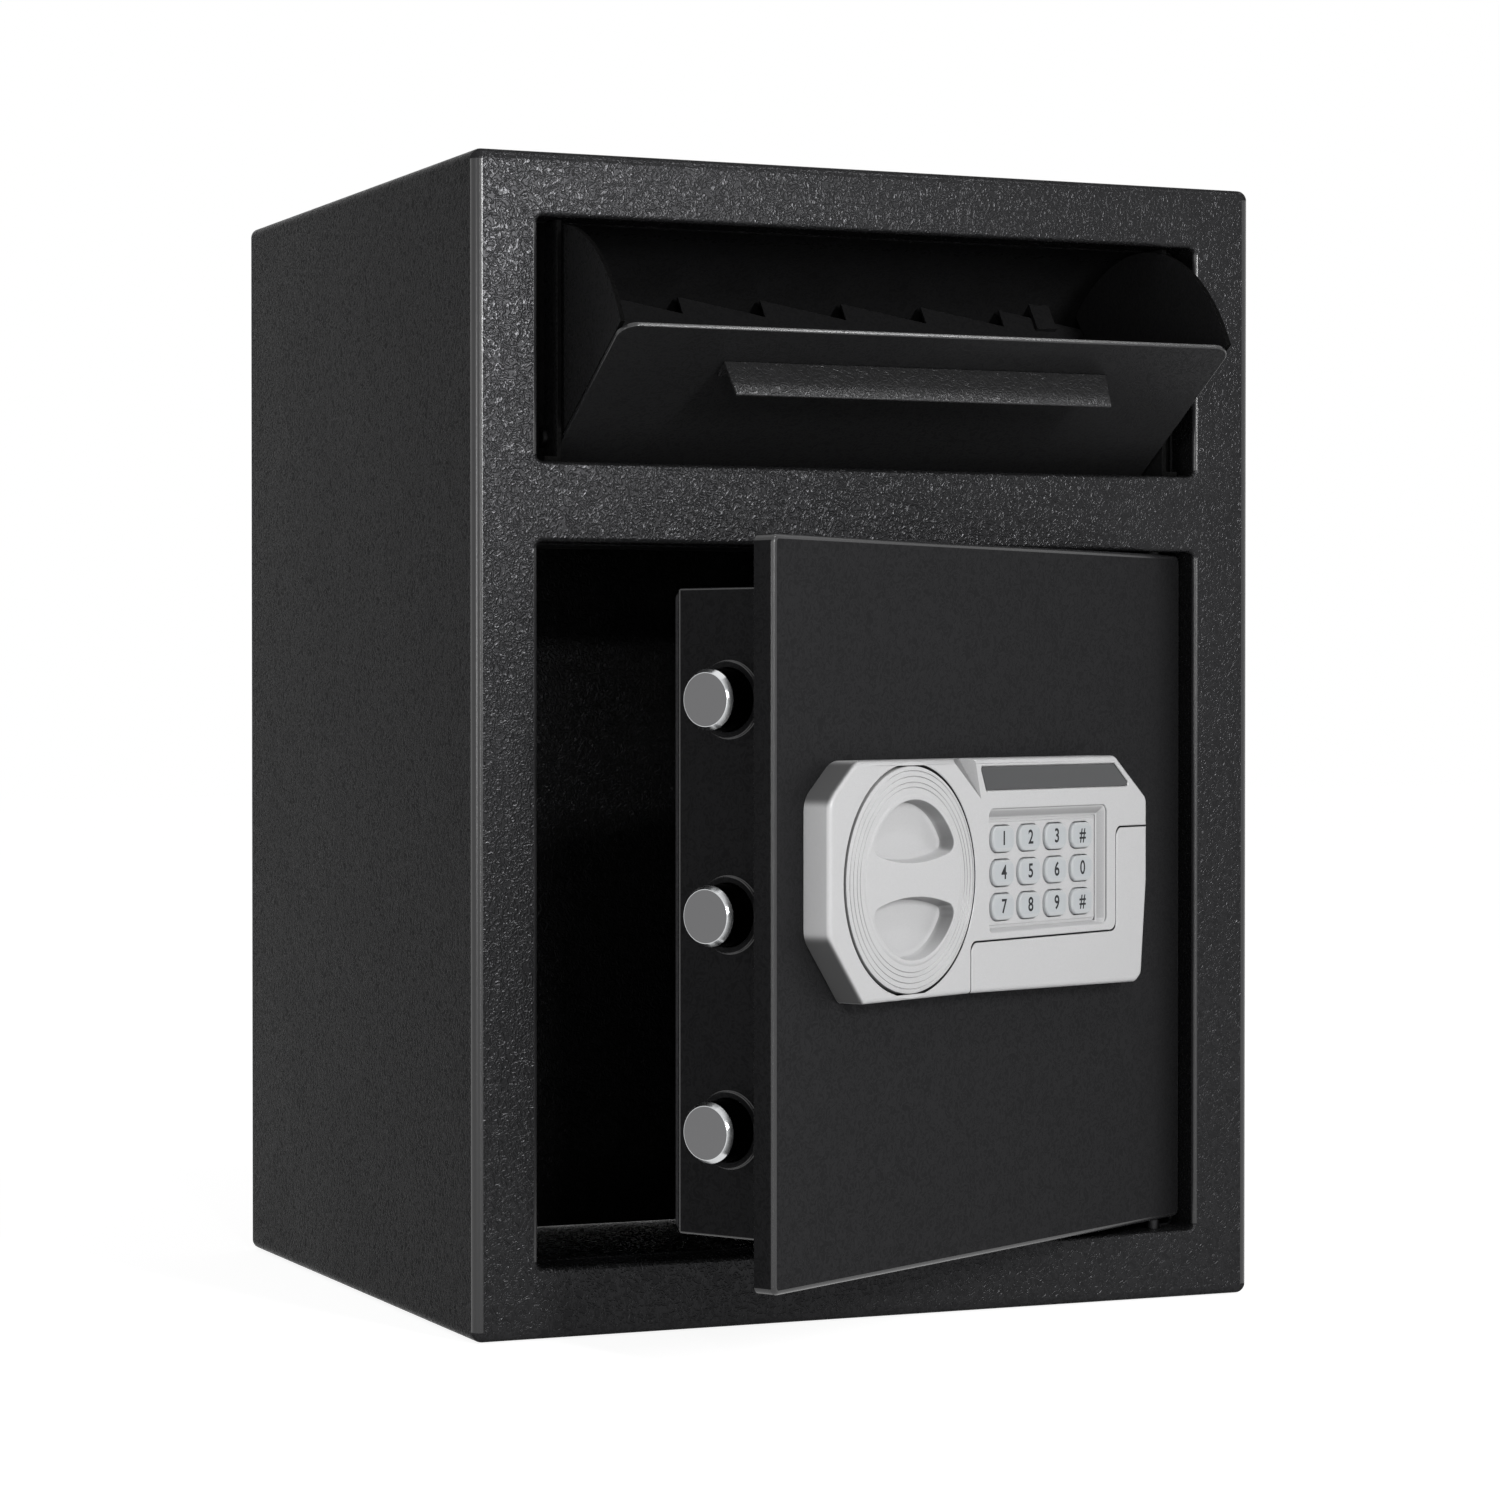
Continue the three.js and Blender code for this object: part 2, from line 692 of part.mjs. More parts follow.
// The hood is rolled round the pivot just clear of the teeth and carries two stop tabs
function hopperHood() {
  const radius = cheekRadius + hoodGap;
  const low = THREE.MathUtils.degToRad(hoodLowAngle);
  const startY = flangeDepth + seatGap + frontY - pivotY;
  const high = Math.acos(startY / radius);
  const highOuter = Math.acos(startY / (radius + hoodSheet));
  const shape = new THREE.Shape();
  shape.absarc(pivotY, pivotZ, radius, high, low, true);
  shape.absarc(pivotY, pivotZ, radius + hoodSheet, low, highOuter, false);
  shape.closePath();
  const reach = halfWidth - bodySheet - seatGap;
  let hood = prism(shape, 'x', -reach, reach, 14);
  const restAngle = THREE.MathUtils.degToRad(hopperOpenAngle - floorSlope);
  const tab = new THREE.Shape();
  const along = new THREE.Vector2(Math.cos(restAngle), Math.sin(restAngle));
  const across = new THREE.Vector2(-along.y, along.x);
  const pivot = new THREE.Vector2(pivotY, pivotZ);
  const face = (panelBack + seatGap) * Math.sin(slope) - floorDrop * Math.cos(slope) + seatGap;
  const corners = [
    [radius - hoodGap - stopTabReach, face],
    [radius + hoodSheet / 2, face],
    [radius + hoodSheet / 2, face + hoodSheet],
    [radius - hoodGap - stopTabReach, face + hoodSheet],
  ];
  corners.forEach(([out, up], index) => {
    const point = pivot.clone().addScaledVector(along, out).addScaledVector(across, up);
    if (index === 0) {
      tab.moveTo(point.x, point.y);
    } else {
      tab.lineTo(point.x, point.y);
    }
  });
  tab.closePath();
  for (const side of [-1, 1]) {
    const middle = side * (cheekInner - stopTabInset);
    hood = hood.add(prism(tab, 'x', middle - stopTabWidth / 2, middle + stopTabWidth / 2));
  }
  return hood;
}

addPiece(safe, 'hopper_hood', hopperHood(), 'powderSmooth');
addPiece(safe, 'hopper_side_plate_left', hopperSidePlate(-1), 'powderSmooth');
addPiece(safe, 'hopper_side_plate_right', hopperSidePlate(1), 'powderSmooth');

// Door: drawn closed, with the hinge line as its origin, then swung open
const doorWidth = 2 * (openingHalf - doorGapSide);
const doorBottom = lowerBottom + doorGapBottom;
const doorTop = lowerTop - doorGapTop;
const hingeEdge = hingeFromEdge;
const freeEdge = hingeEdge - doorWidth;
const doorFace = -hingeFromFace;
const doorBack = doorFace + doorThickness;
const sheetBack = doorFace + doorSheet;
door.position.set(hingeX, hingeY, 0);
door.rotation.z = THREE.MathUtils.degToRad(doorOpenAngle);
const acrossLock = (distance) => (freeEdge + hingeEdge) / 2 + distance - lockMiddle;

const knobX = acrossLock(knobAcross);
const fasciaFront = doorFace - seatGap - fasciaThickness;
const fasciaBack = doorFace - seatGap;
const holderRight = holderLeft + 2 * (batteryLength + batteryGap) + 2 * holderWall + batteryGap;
const holderBottom = fasciaBottom + fasciaWall + 2 * seatGap;
const holderTop = holderBottom + 2 * (batteryRadius + batteryGap + holderWall);
const holderFront = fasciaFront + fasciaWall + 2 * seatGap;
const holderBack = holderFront + 4 * (batteryRadius + batteryGap) + 2 * holderWall;
const cylinderX = acrossLock(coverLegLeft + cylinderFromLeg);
const cylinderHeight = coverLegTop - cylinderBelowLegTop;

function doorPlate() {
  const outer = loft(roundedFrontRings(
    freeEdge, doorBottom, hingeEdge, doorTop, doorCorner, doorEdgeRadius, doorFace, doorBack, false));
  const inner = prism(
    rectangle(freeEdge + doorSheet, doorBottom + doorSheet, hingeEdge - doorSheet, doorTop - doorSheet),
    'y', sheetBack, doorBack + 1);
  const slot = hingePinRadius + turningClearance;
  const pinSlots = prism(rectangle(-slot, doorBottom - 1, slot, doorTop + 1), 'y', -slot, doorBack + 1);
  const spindleHole = prism(
    circle(knobX, knobHeight, spindleRadius + spindleClearance), 'y', doorFace - 1, sheetBack + 1, 8);
  const holderHole = prism(
    rectangle(acrossLock(holderLeft) - seatGap, holderBottom - seatGap,
      acrossLock(holderRight) + seatGap, holderTop + seatGap),
    'y', doorFace - 1, sheetBack + 1);
  const cylinderHole = prism(
    circle(cylinderX, cylinderHeight, cylinderRadius + seatGap), 'y', doorFace - 1, sheetBack + 1, 8);
  return outer.subtract(inner).subtract(pinSlots).subtract(spindleHole)
    .subtract(holderHole).subtract(cylinderHole);
}

// Pan: a tray behind the plate, with lips for its cover and collared holes for the bolts
const panLeft = freeEdge + panInsetSide;
const panRight = hingeEdge - panInsetSide;
const panBottom = doorBottom + panInsetBottom;
const panTop = doorTop - panInsetTop;
const panBack = doorFace + panDepthFromFace;
const boltY = doorFace + boltDepthFromFace;
const boltMiddle = (lowerBottom + lowerTop) / 2;
const boltPitch = boltPitchShare * (lowerTop - lowerBottom);
const boltNames = ['bottom', 'middle', 'top'];

function doorPan() {
  const front = sheetBack + seatGap;
  const outer = prism(rectangle(panLeft, panBottom, panRight, panTop), 'y', front, panBack);
  const room = prism(
    rectangle(panLeft + panSheet, panBottom + panSheet, panRight - panSheet, panTop - panSheet),
    'y', front - 1, panBack - panSheet);
  const window = prism(
    rectangle(panLeft + panLip, panBottom + panLip, panRight - panLip, panTop - panLip),
    'y', front, panBack + 1);
  let pan = outer.subtract(room).subtract(window);
  const collarRadius = boltRadius + boltClearance + collarWidth;
  boltNames.forEach((_, index) => {
    const z = boltMiddle + (index - 1) * boltPitch;
    pan = pan.add(prism(circle(boltY, z, collarRadius), 'x', panLeft - collarHeight, panLeft + 0.5, 12));
    pan = pan.subtract(prism(
      circle(boltY, z, boltRadius + boltClearance), 'x',
      panLeft - collarHeight - 1, panLeft + panSheet + 1, 12));
  });
  for (const [x, z] of coverScrewPlaces()) {
    pan = pan.subtract(prism(
      circle(x, z, screwRadius + seatGap), 'y', panBack - panSheet - 1, panBack + 1, 4));
  }
  return pan;
}

function coverScrewPlaces() {
  const inset = (coverMargin + panLip) / 2;
  return [
    [panLeft + inset, panBottom + inset], [panRight - inset, panBottom + inset],
    [panLeft + inset, panTop - inset], [panRight - inset, panTop - inset],
  ];
}

function doorBackCover() {
  const corner = 3;
  const shape = roundedRectangle(
    panLeft + panSheet, panBottom + panSheet, panRight - panSheet, panTop - panSheet, corner);
  for (const [x, z] of coverScrewPlaces()) {
    shape.holes.push(circle(x, z, screwRadius + seatGap));
  }
  return prism(shape, 'y', panBack + seatGap, panBack + seatGap + coverSheet, 4);
}

function coverScrew([x, z]) {
  const seat = panBack + coverSheet + 2 * seatGap;
  const profile = [
    [0, seat - screwLength], [screwRadius, seat - screwLength], [screwRadius, seat],
    [screwHeadRadius, seat], [screwHeadRadius * 0.75, seat + screwHeadHeight], [0, seat + screwHeadHeight],
  ];
  return turned(profile, 'y', 12).translate([x, 0, z]);
}

function hingeBlock(top) {
  const left = panRight + seatGap;
  const right = hingeEdge - doorSheet - seatGap;
  const from = top ? doorTop - doorSheet - seatGap - hingeBlockHeight : doorBottom + doorSheet + seatGap;
  const block = prism(
    rectangle(left, sheetBack + seatGap, right, hingeBlockBack), 'z', from, from + hingeBlockHeight);
  return block.subtract(prism(
    circle(0, 0, hingePinRadius + turningClearance), 'z', from - 1, from + hingeBlockHeight + 1, 6));
}

function hingePin(top) {
  const sign = top ? 1 : -1;
  const edge = top ? doorTop : doorBottom;
  const head = (top ? lowerTop : lowerBottom) + sign * (bodySheet + seatGap);
  const profile = [
    [0, edge - sign * hingePinReach], [hingePinRadius, edge - sign * hingePinReach],
    [hingePinRadius, head], [hingeHeadRadius, head],
    [hingeHeadRadius, head + sign * hingeHeadThickness], [0, head + sign * hingeHeadThickness],
  ];
  return turned(profile, 'z', 16).translate([hingeX, hingeY, 0]);
}

addPiece(door, 'door_plate', doorPlate(), 'powder');
addPiece(door, 'door_pan', doorPan(), 'powder');
addPiece(door, 'door_back_cover', doorBackCover(), 'powder');
coverScrewPlaces().forEach((place, index) => {
  addPiece(door, `cover_screw_${index + 1}`, coverScrew(place), 'zinc');
});
addPiece(door, 'hinge_block_top', hingeBlock(true), 'powder');
addPiece(door, 'hinge_block_bottom', hingeBlock(false), 'powder');
addPiece(safe, 'hinge_pin_top', hingePin(true), 'zinc');
addPiece(safe, 'hinge_pin_bottom', hingePin(false), 'zinc');

// Bolts, drawn back so that their tips stand inside the door's edge
const boltTip = freeEdge + boltInsideEdge;
const boltEnd = boltTip + boltLength;

function lockBolt(z) {
  const profile = [
    [0, boltTip], [boltRadius - boltChamfer, boltTip], [boltRadius, boltTip + boltChamfer],
    [boltRadius, boltEnd], [0, boltEnd],
  ];
  return turned(profile, 'x', 32).translate([0, boltY, z]);
}

// Carriage: an angle whose upright leg the bolts are screwed to and whose arm the crank pin drives
const crankY = doorFace + crankDepthFromFace;
const carriageLeft = boltEnd + seatGap;
const carriageFront = crankY + carriageGap;
const restPinX = knobX + boltTravel / 2;
const plungerX = carriageLeft + carriageSheet + boltTravel;
const armTop = knobHeight - crankPinArm * Math.SQRT1_2 + crankPinRadius + slotClearance + carriageSheet;
const armBottom = knobHeight - crankPinArm - crankPinRadius - slotClearance - 2 * carriageSheet - notchDepth;

function boltCarriage() {
  const reachUp = boltPitch + boltRadius;
  const arm = prism(
    rectangle(carriageLeft, armBottom, restPinX + crankPinRadius + slotClearance + 2 * carriageSheet, armTop),
    'y', carriageFront, carriageFront + carriageSheet);
  const leg = prism(
    rectangle(carriageLeft, boltMiddle - reachUp, carriageLeft + carriageSheet, boltMiddle + reachUp),
    'y', carriageFront, boltY + boltRadius / 2);
  const slotHalf = crankPinRadius + slotClearance;
  const slot = prism(
    roundedRectangle(
      restPinX - slotHalf, knobHeight - crankPinArm - slotHalf,
      restPinX + slotHalf, knobHeight - crankPinArm * Math.SQRT1_2 + slotHalf, slotHalf - 0.1),
    'y', carriageFront - 1, carriageFront + carriageSheet + 1, 5);
  let carriage = arm.add(leg).subtract(slot);
  for (const offset of [0, boltTravel]) {
    carriage = carriage.subtract(prism(
      rectangle(plungerX + offset - notchWidth / 2, armBottom - 1,
        plungerX + offset + notchWidth / 2, armBottom + notchDepth),
      'y', carriageFront - 1, carriageFront + carriageSheet + 1));
  }
  return carriage;
}

// Crank on the end of the spindle, its pin 45 degrees to the hinge side of straight down
function driveCrank() {
  const back = crankY;
  const front = crankY - crankThickness;
  const hub = prism(circle(knobX, knobHeight, crankHubRadius), 'y', front, back, 10);
  const pinX = restPinX;
  const pinZ = knobHeight - crankPinArm * Math.SQRT1_2;
  const pinPad = prism(circle(pinX, pinZ, crankPinRadius + 2), 'y', front, back, 8);
  const pin = prism(
    circle(pinX, pinZ, crankPinRadius), 'y', front, carriageFront + carriageSheet + 1, 8);
  const bore = prism(
    circle(knobX, knobHeight, spindleRadius + seatGap), 'y', front - 1, back + 1, 8);
  const hubCentre = new THREE.Vector2(knobX, knobHeight);
  const padCentre = new THREE.Vector2(pinX, pinZ);
  const across = padCentre.clone().sub(hubCentre).normalize().rotateAround(new THREE.Vector2(), Math.PI / 2);
  const web = new THREE.Shape([
    hubCentre.clone().addScaledVector(across, -crankHubRadius + 1),
    padCentre.clone().addScaledVector(across, -crankPinRadius - 1.5),
    padCentre.clone().addScaledVector(across, crankPinRadius + 1.5),
    hubCentre.clone().addScaledVector(across, crankHubRadius - 1),
  ]);
  return hub.add(prism(web, 'y', front, back)).add(pinPad).add(pin).subtract(bore);
}

boltNames.forEach((name, index) => {
  addPiece(door, `bolt_${name}`, lockBolt(boltMiddle + (index - 1) * boltPitch), 'chrome');
});
addPiece(door, 'bolt_carriage', boltCarriage(), 'zinc');
addPiece(door, 'drive_crank', driveCrank(), 'zinc');

// Solenoid: it holds its plunger down against the spring while the door is open, and once it lets go
// the plunger stands up in a notch of the carriage, at either end of the bolts' travel
const plungerY = carriageFront + carriageSheet / 2;
const plungerTip = armBottom + notchDepth - plungerTipClearance - plungerTravel;
const solenoidTop = armBottom - raisedCollarGap - plungerCollar - plungerTravel - seatGap - springHeight;
const collarZ = solenoidTop + springHeight + seatGap;

function solenoidBody() {
  const half = solenoidWidth / 2;
  const block = prism(
    rectangle(plungerX - half, solenoidTop - solenoidHeight, plungerX + half, solenoidTop),
    'y', sheetBack + seatGap, plungerY + half);
  return block.subtract(prism(
    circle(plungerX, plungerY, plungerRadius + turningClearance), 'z',
    solenoidTop - solenoidHeight + solenoidFloor, solenoidTop + 1, 6));
}

function solenoidPlunger() {
  const low = solenoidTop - solenoidHeight + solenoidFloor + seatGap;
  const collarRadius = plungerRadius + plungerCollarReach;
  const profile = [
    [0, low], [plungerRadius, low], [plungerRadius, collarZ], [collarRadius, collarZ],
    [collarRadius, collarZ + plungerCollar], [plungerRadius, collarZ + plungerCollar],
    [plungerRadius, plungerTip - 1], [plungerRadius - 1, plungerTip], [0, plungerTip],
  ];
  return turned(profile, 'z', 12).translate([plungerX, plungerY, 0]);
}

// The spring is one helix of round wire, its rings laid square to the path
function plungerSpring() {
  const steps = springTurns * 8;
  const sides = 5;
  const radius = plungerRadius + springWire + 0.5;
  const wireLow = solenoidTop + springWire + seatGap;
  const climb = collarZ - seatGap - 2 * springWire - seatGap - solenoidTop;
  const rings = [];
  for (let step = 0; step <= steps; step += 1) {
    const angle = step / steps * springTurns * 2 * Math.PI;
    const out = new THREE.Vector3(Math.cos(angle), Math.sin(angle), 0);
    const centre = out.clone().multiplyScalar(radius).setZ(wireLow + climb * step / steps);
    const ring = [];
    for (let side = 0; side < sides; side += 1) {
      const turn = side / sides * 2 * Math.PI;
      ring.push(centre.clone()
        .addScaledVector(out, springWire * Math.cos(turn))
        .add(new THREE.Vector3(0, 0, springWire * Math.sin(turn))));
    }
    rings.push(ring);
  }
  return loft(rings).translate([plungerX, plungerY, 0]);
}

addPiece(door, 'solenoid_body', solenoidBody(), 'blackPlastic');
addPiece(door, 'solenoid_plunger', solenoidPlunger(), 'zinc');
addPiece(door, 'plunger_spring', plungerSpring(), 'zinc');

// Lock fascia: one moulded outline, cut into the housing and the L-shaped battery cover
function fasciaOutline(inset) {
  const middle = new THREE.Vector2((fasciaLeft + fasciaRight) / 2, (fasciaBottom + fasciaTop) / 2);
  const shrinkAcross = 1 - 2 * inset / (fasciaRight - fasciaLeft);
  const shrinkUp = 1 - 2 * inset / (fasciaTop - fasciaBottom);
  const moved = fasciaCorners.map(([across, up]) => [
    acrossLock(middle.x + (across - middle.x) * shrinkAcross),
    middle.y + (up - middle.y) * shrinkUp,
  ]);
  return softPolygon(moved, fasciaCornerSoftness);
}

function coverRegion(grow) {
  const shape = new THREE.Shape();
  const far = acrossLock(fasciaRight) + 10;
  const low = fasciaBottom - 10;
  const corner = coverSeamCorner;
  shape.moveTo(acrossLock(coverLeft) - grow, low);
  shape.lineTo(far, low);
  shape.lineTo(far, coverLegTop + grow);
  shape.lineTo(acrossLock(coverLegLeft) - grow + corner, coverLegTop + grow);
  shape.quadraticCurveTo(
    acrossLock(coverLegLeft) - grow, coverLegTop + grow,
    acrossLock(coverLegLeft) - grow, coverLegTop + grow - corner);
  shape.lineTo(acrossLock(coverLegLeft) - grow, coverSeamTop + grow + corner);
  shape.quadraticCurveTo(
    acrossLock(coverLegLeft) - grow, coverSeamTop + grow,
    acrossLock(coverLegLeft) - grow - corner, coverSeamTop + grow);
  shape.lineTo(acrossLock(coverLeft) - grow + corner, coverSeamTop + grow);
  shape.quadraticCurveTo(
    acrossLock(coverLeft) - grow, coverSeamTop + grow,
    acrossLock(coverLeft) - grow, coverSeamTop + grow - corner);
  shape.closePath();
  return prism(shape, 'y', fasciaFront - 1, fasciaBack + 1, 4);
}

function displayShape(inset) {
  const corners = [
    [displayTopLeft + inset, displayTop - inset],
    [displayBottomLeft + inset, displayBottom + inset],
    [displayBottomRight - inset * 2, displayBottom + inset],
    [displayTopRight - inset, displayTop - inset],
  ];
  return softPolygon(corners.map(([across, up]) => [acrossLock(across), up]), 1);
}

const keypadFloor = fasciaFront + keypadDepth;
const pocketLeft = acrossLock(keypadLeft) - pocketMarginAcross;
const pocketRight = acrossLock(keypadRight) + pocketMarginAcross;
const pocketBottom = keypadBottom - pocketMarginBelow;
const pocketTop = keypadTop + pocketMarginAbove;
const knobWell = knobRadius + knobGap;

function lockHousing() {
  let housing = bevelledSlab(fasciaOutline(0), fasciaFront, fasciaBack, fasciaBevel);
  housing = housing.subtract(coverRegion(seam / 2));
  housing = housing.subtract(prism(
    circle(knobX, knobHeight, knobWell), 'y', fasciaFront - 1, fasciaBack - fasciaWall, 24));
  housing = housing.subtract(prism(
    circle(knobX, knobHeight, spindleRadius + spindleClearance), 'y', fasciaFront - 1, fasciaBack + 1, 8));
  const mouthAt = (y) => roundedRing(
    acrossLock(keypadLeft), keypadBottom, acrossLock(keypadRight), keypadTop, keypadCorner, y);
  const mouth = loft([
    mouthAt(fasciaFront - 1),
    mouthAt(fasciaFront),
    roundedRing(acrossLock(keypadLeft) + 1, keypadBottom + 1, acrossLock(keypadRight) - keypadSlope,
      keypadTop - keypadSlope, keypadCorner - 0.5, keypadFloor + 1),
  ]);
  housing = housing.subtract(mouth);
  housing = housing.subtract(prism(
    rectangle(pocketLeft, pocketBottom, pocketRight, pocketTop), 'y', keypadFloor, fasciaBack + 1));
  return housing.subtract(prism(displayShape(0), 'y', fasciaFront - 1, fasciaFront + displayDepth, 3));
}

function batteryCover() {
  const skin = bevelledSlab(fasciaOutline(0), fasciaFront, fasciaBack, fasciaBevel);
  const cover = skin.intersect(coverRegion(-seam / 2));
  const room = prism(fasciaOutline(fasciaWall), 'y', fasciaFront + fasciaWall, fasciaBack + 1, 3);
  return cover.subtract(room);
}

function displayWindow() {
  return prism(
    displayShape(seatGap), 'y', fasciaFront + displaySink, fasciaFront + displayDepth - seatGap, 3);
}

const keyTop = keypadFloor + seatGap - keyProud;
const keypadPlateFront = keypadFloor + seatGap;
const keypadPlateBack = keypadPlateFront + keypadPlateThickness;
const keypadMiddle = (acrossLock(keypadLeft) + 1 + acrossLock(keypadRight) - keypadSlope) / 2;
const keypadCentreZ = (keypadBottom + 1 + keypadTop - keypadSlope) / 2;
const keyLabels = ['1', '2', '3', 'hash_top', '4', '5', '6', '0', '7', '8', '9', 'hash_bottom'];

function keyPlace(index) {
  const column = index % keyColumns;
  const row = Math.floor(index / keyColumns);
  return [
    keypadMiddle + (column - (keyColumns - 1) / 2) * keyPitchAcross,
    keypadCentreZ - (row - (keyRows - 1) / 2) * keyPitchUp,
  ];
}

function keyShape(x, z, grow) {
  return roundedRectangle(
    x - keyWidth / 2 - grow, z - keyHeight / 2 - grow, x + keyWidth / 2 + grow, z + keyHeight / 2 + grow,
    keyCorner + grow);
}

function keypadPlate() {
  const shape = rectangle(
    pocketLeft + seatGap, pocketBottom + seatGap, pocketRight - seatGap, pocketTop - seatGap);
  keyLabels.forEach((_, index) => {
    shape.holes.push(keyShape(...keyPlace(index), keyGap));
  });
  return prism(shape, 'y', keypadPlateFront, keypadPlateBack, 2);
}

function keypadKey(index) {
  const [x, z] = keyPlace(index);
  const flangeFront = keypadPlateBack + seatGap;
  const crown = bevelledSlab(keyShape(x, z, 0), keyTop, flangeFront + keyFlangeThickness / 2, keyBevel, 1, 2);
  const flange = prism(keyShape(x, z, keyFlange), 'y', flangeFront, flangeFront + keyFlangeThickness, 2);
  return crown.add(flange);
}

const boardFront = keypadPlateBack + seatGap + keyFlangeThickness + keyTravel + 2 * seatGap;

function circuitBoard() {
  const shape = rectangle(
    pocketLeft + seatGap, pocketBottom + seatGap, pocketRight - seatGap, pocketTop - seatGap);
  return prism(shape, 'y', boardFront, Math.min(boardFront + boardThickness, fasciaBack - seatGap));
}

addPiece(door, 'lock_housing', lockHousing(), 'silver');
addPiece(door, 'battery_cover', batteryCover(), 'silver');
addPiece(door, 'display_window', displayWindow(), 'display');
addPiece(door, 'keypad_plate', keypadPlate(), 'silver');
keyLabels.forEach((label, index) => {
  addPiece(door, `key_${label}`, keypadKey(index), 'key');
});
addPiece(door, 'circuit_board', circuitBoard(), 'board');

// Knob: a stepped disc with two finger scoops that leave a bow-tie grip across it
const knobFront = fasciaFront - knobProud;
const knobBack = fasciaBack - fasciaWall - knobFloorGap;

function lockKnob() {
  const faceEdge = scoopRadius + knobFaceRim;
  const grooveInner = faceEdge + knobGrooveWidth / 2;
  const profile = [
    [0, knobFront], [faceEdge, knobFront], [grooveInner, knobFront + knobRingStep],
    [grooveInner + knobGrooveWidth, knobFront + knobRingStep * 0.6],
    [knobRadius - knobOuterRing, knobFront + knobRingStep * 1.6],
    [knobRadius - knobEdgeSoftness, fasciaFront], [knobRadius, fasciaFront + knobEdgeSoftness],
    [knobRadius, knobBack], [0, knobBack],
  ];
  const disc = turned(profile, 'y', 60);
  const end = gripEndHeight / 2;
  const across = Math.sqrt(scoopRadius ** 2 - end ** 2);
  const start = Math.atan2(end, across);
  const arc = new THREE.EllipseCurve(0, 0, scoopRadius, scoopRadius, start, Math.PI - start);
  const grip = new THREE.QuadraticBezierCurve(
    new THREE.Vector2(-across, end), new THREE.Vector2(0, gripWaistHeight - end),
    new THREE.Vector2(across, end));
  const outline = [...arc.getPoints(20).slice(0, -1), ...grip.getPoints(12).slice(0, -1)];
  const middle = new THREE.Vector2(0, (gripWaistHeight / 2 + scoopRadius) / 2);
  const ringAt = (scale, y) => outline.map((point) => {
    const moved = point.clone().sub(middle).multiplyScalar(scale).add(middle);
    return new THREE.Vector3(moved.x, y, moved.y);
  });
  const upper = loft([
    ringAt(1, knobFront - 1), ringAt(1, knobFront), ringAt(0.97, knobFront + scoopDepth * 0.6),
    ringAt(0.89, knobFront + scoopDepth * 0.9), ringAt(0.78, knobFront + scoopDepth),
  ]);
  const lower = upper.rotate([0, 180, 0]);
  return disc.subtract(upper).subtract(lower).translate([knobX, 0, knobHeight]);
}

function knobSpindle() {
  const profile = [
    [0, knobBack + seatGap], [spindleRadius, knobBack + seatGap], [spindleRadius, crankY], [0, crankY],
  ];
  return turned(profile, 'y', 20).translate([knobX, 0, knobHeight]);
}

addPiece(door, 'lock_knob', lockKnob(), 'silver');
addPiece(door, 'knob_spindle', knobSpindle(), 'zinc');

// Battery holder through the door plate, two pairs of cells one behind the other
function batteryHolder() {
  const outer = prism(
    rectangle(acrossLock(holderLeft), holderBottom, acrossLock(holderRight), holderTop), 'y',
    holderFront, holderBack);
  return outer.subtract(prism(
    rectangle(acrossLock(holderLeft) + holderWall, holderBottom + holderWall,
      acrossLock(holderRight) - holderWall, holderTop - holderWall),
    'y', holderFront - 1, holderBack - holderWall));
}

function battery(column, layer) {
  const left = acrossLock(holderLeft) + holderWall + batteryGap + column * (batteryLength + batteryGap);
  const layerPitch = 2 * batteryRadius + seatGap;
  const y = holderBack - holderWall - seatGap - batteryRadius - (1 - layer) * layerPitch;
  const z = (holderBottom + holderTop) / 2;
  const right = left + batteryLength;
  const shoulder = right - batteryButtonHeight;
  const profile = [
    [0, left], [batteryRadius, left], [batteryRadius, shoulder], [batteryButtonRadius, shoulder],
    [batteryButtonRadius, right], [0, right],
  ];
  return turned(profile, 'x', 14).translate([0, y, z]);
}

function keyCylinder() {
  const front = fasciaFront + fasciaWall + 2 * seatGap;
  const barrel = prism(
    circle(cylinderX, cylinderHeight, cylinderRadius), 'y', front, front + cylinderLength, 10);
  const keyway = prism(
    rectangle(cylinderX - keywayWidth / 2, cylinderHeight - keywayHeight / 2,
      cylinderX + keywayWidth / 2, cylinderHeight + keywayHeight / 2),
    'y', front - 1, front + cylinderLength - keywayEnd);
  return barrel.subtract(keyway);
}

addPiece(door, 'battery_holder', batteryHolder(), 'blackPlastic');
for (const [index, [column, layer]] of [[0, 0], [1, 0], [0, 1], [1, 1]].entries()) {
  addPiece(door, `battery_${index + 1}`, battery(column, layer), 'battery');
}
addPiece(door, 'key_cylinder', keyCylinder(), 'brass');

export default safe;
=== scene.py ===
"""A counter-top deposit safe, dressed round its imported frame.

Every piece is drawn in millimetres in the axes of the part of the safe that carries it, and is then
placed in the frame, which is in metres. The door stands open and the deposit hopper is tilted out.
"""

import json
import math

import bmesh
import bpy
from mathutils import Matrix, Vector
from mathutils.geometry import tessellate_polygon

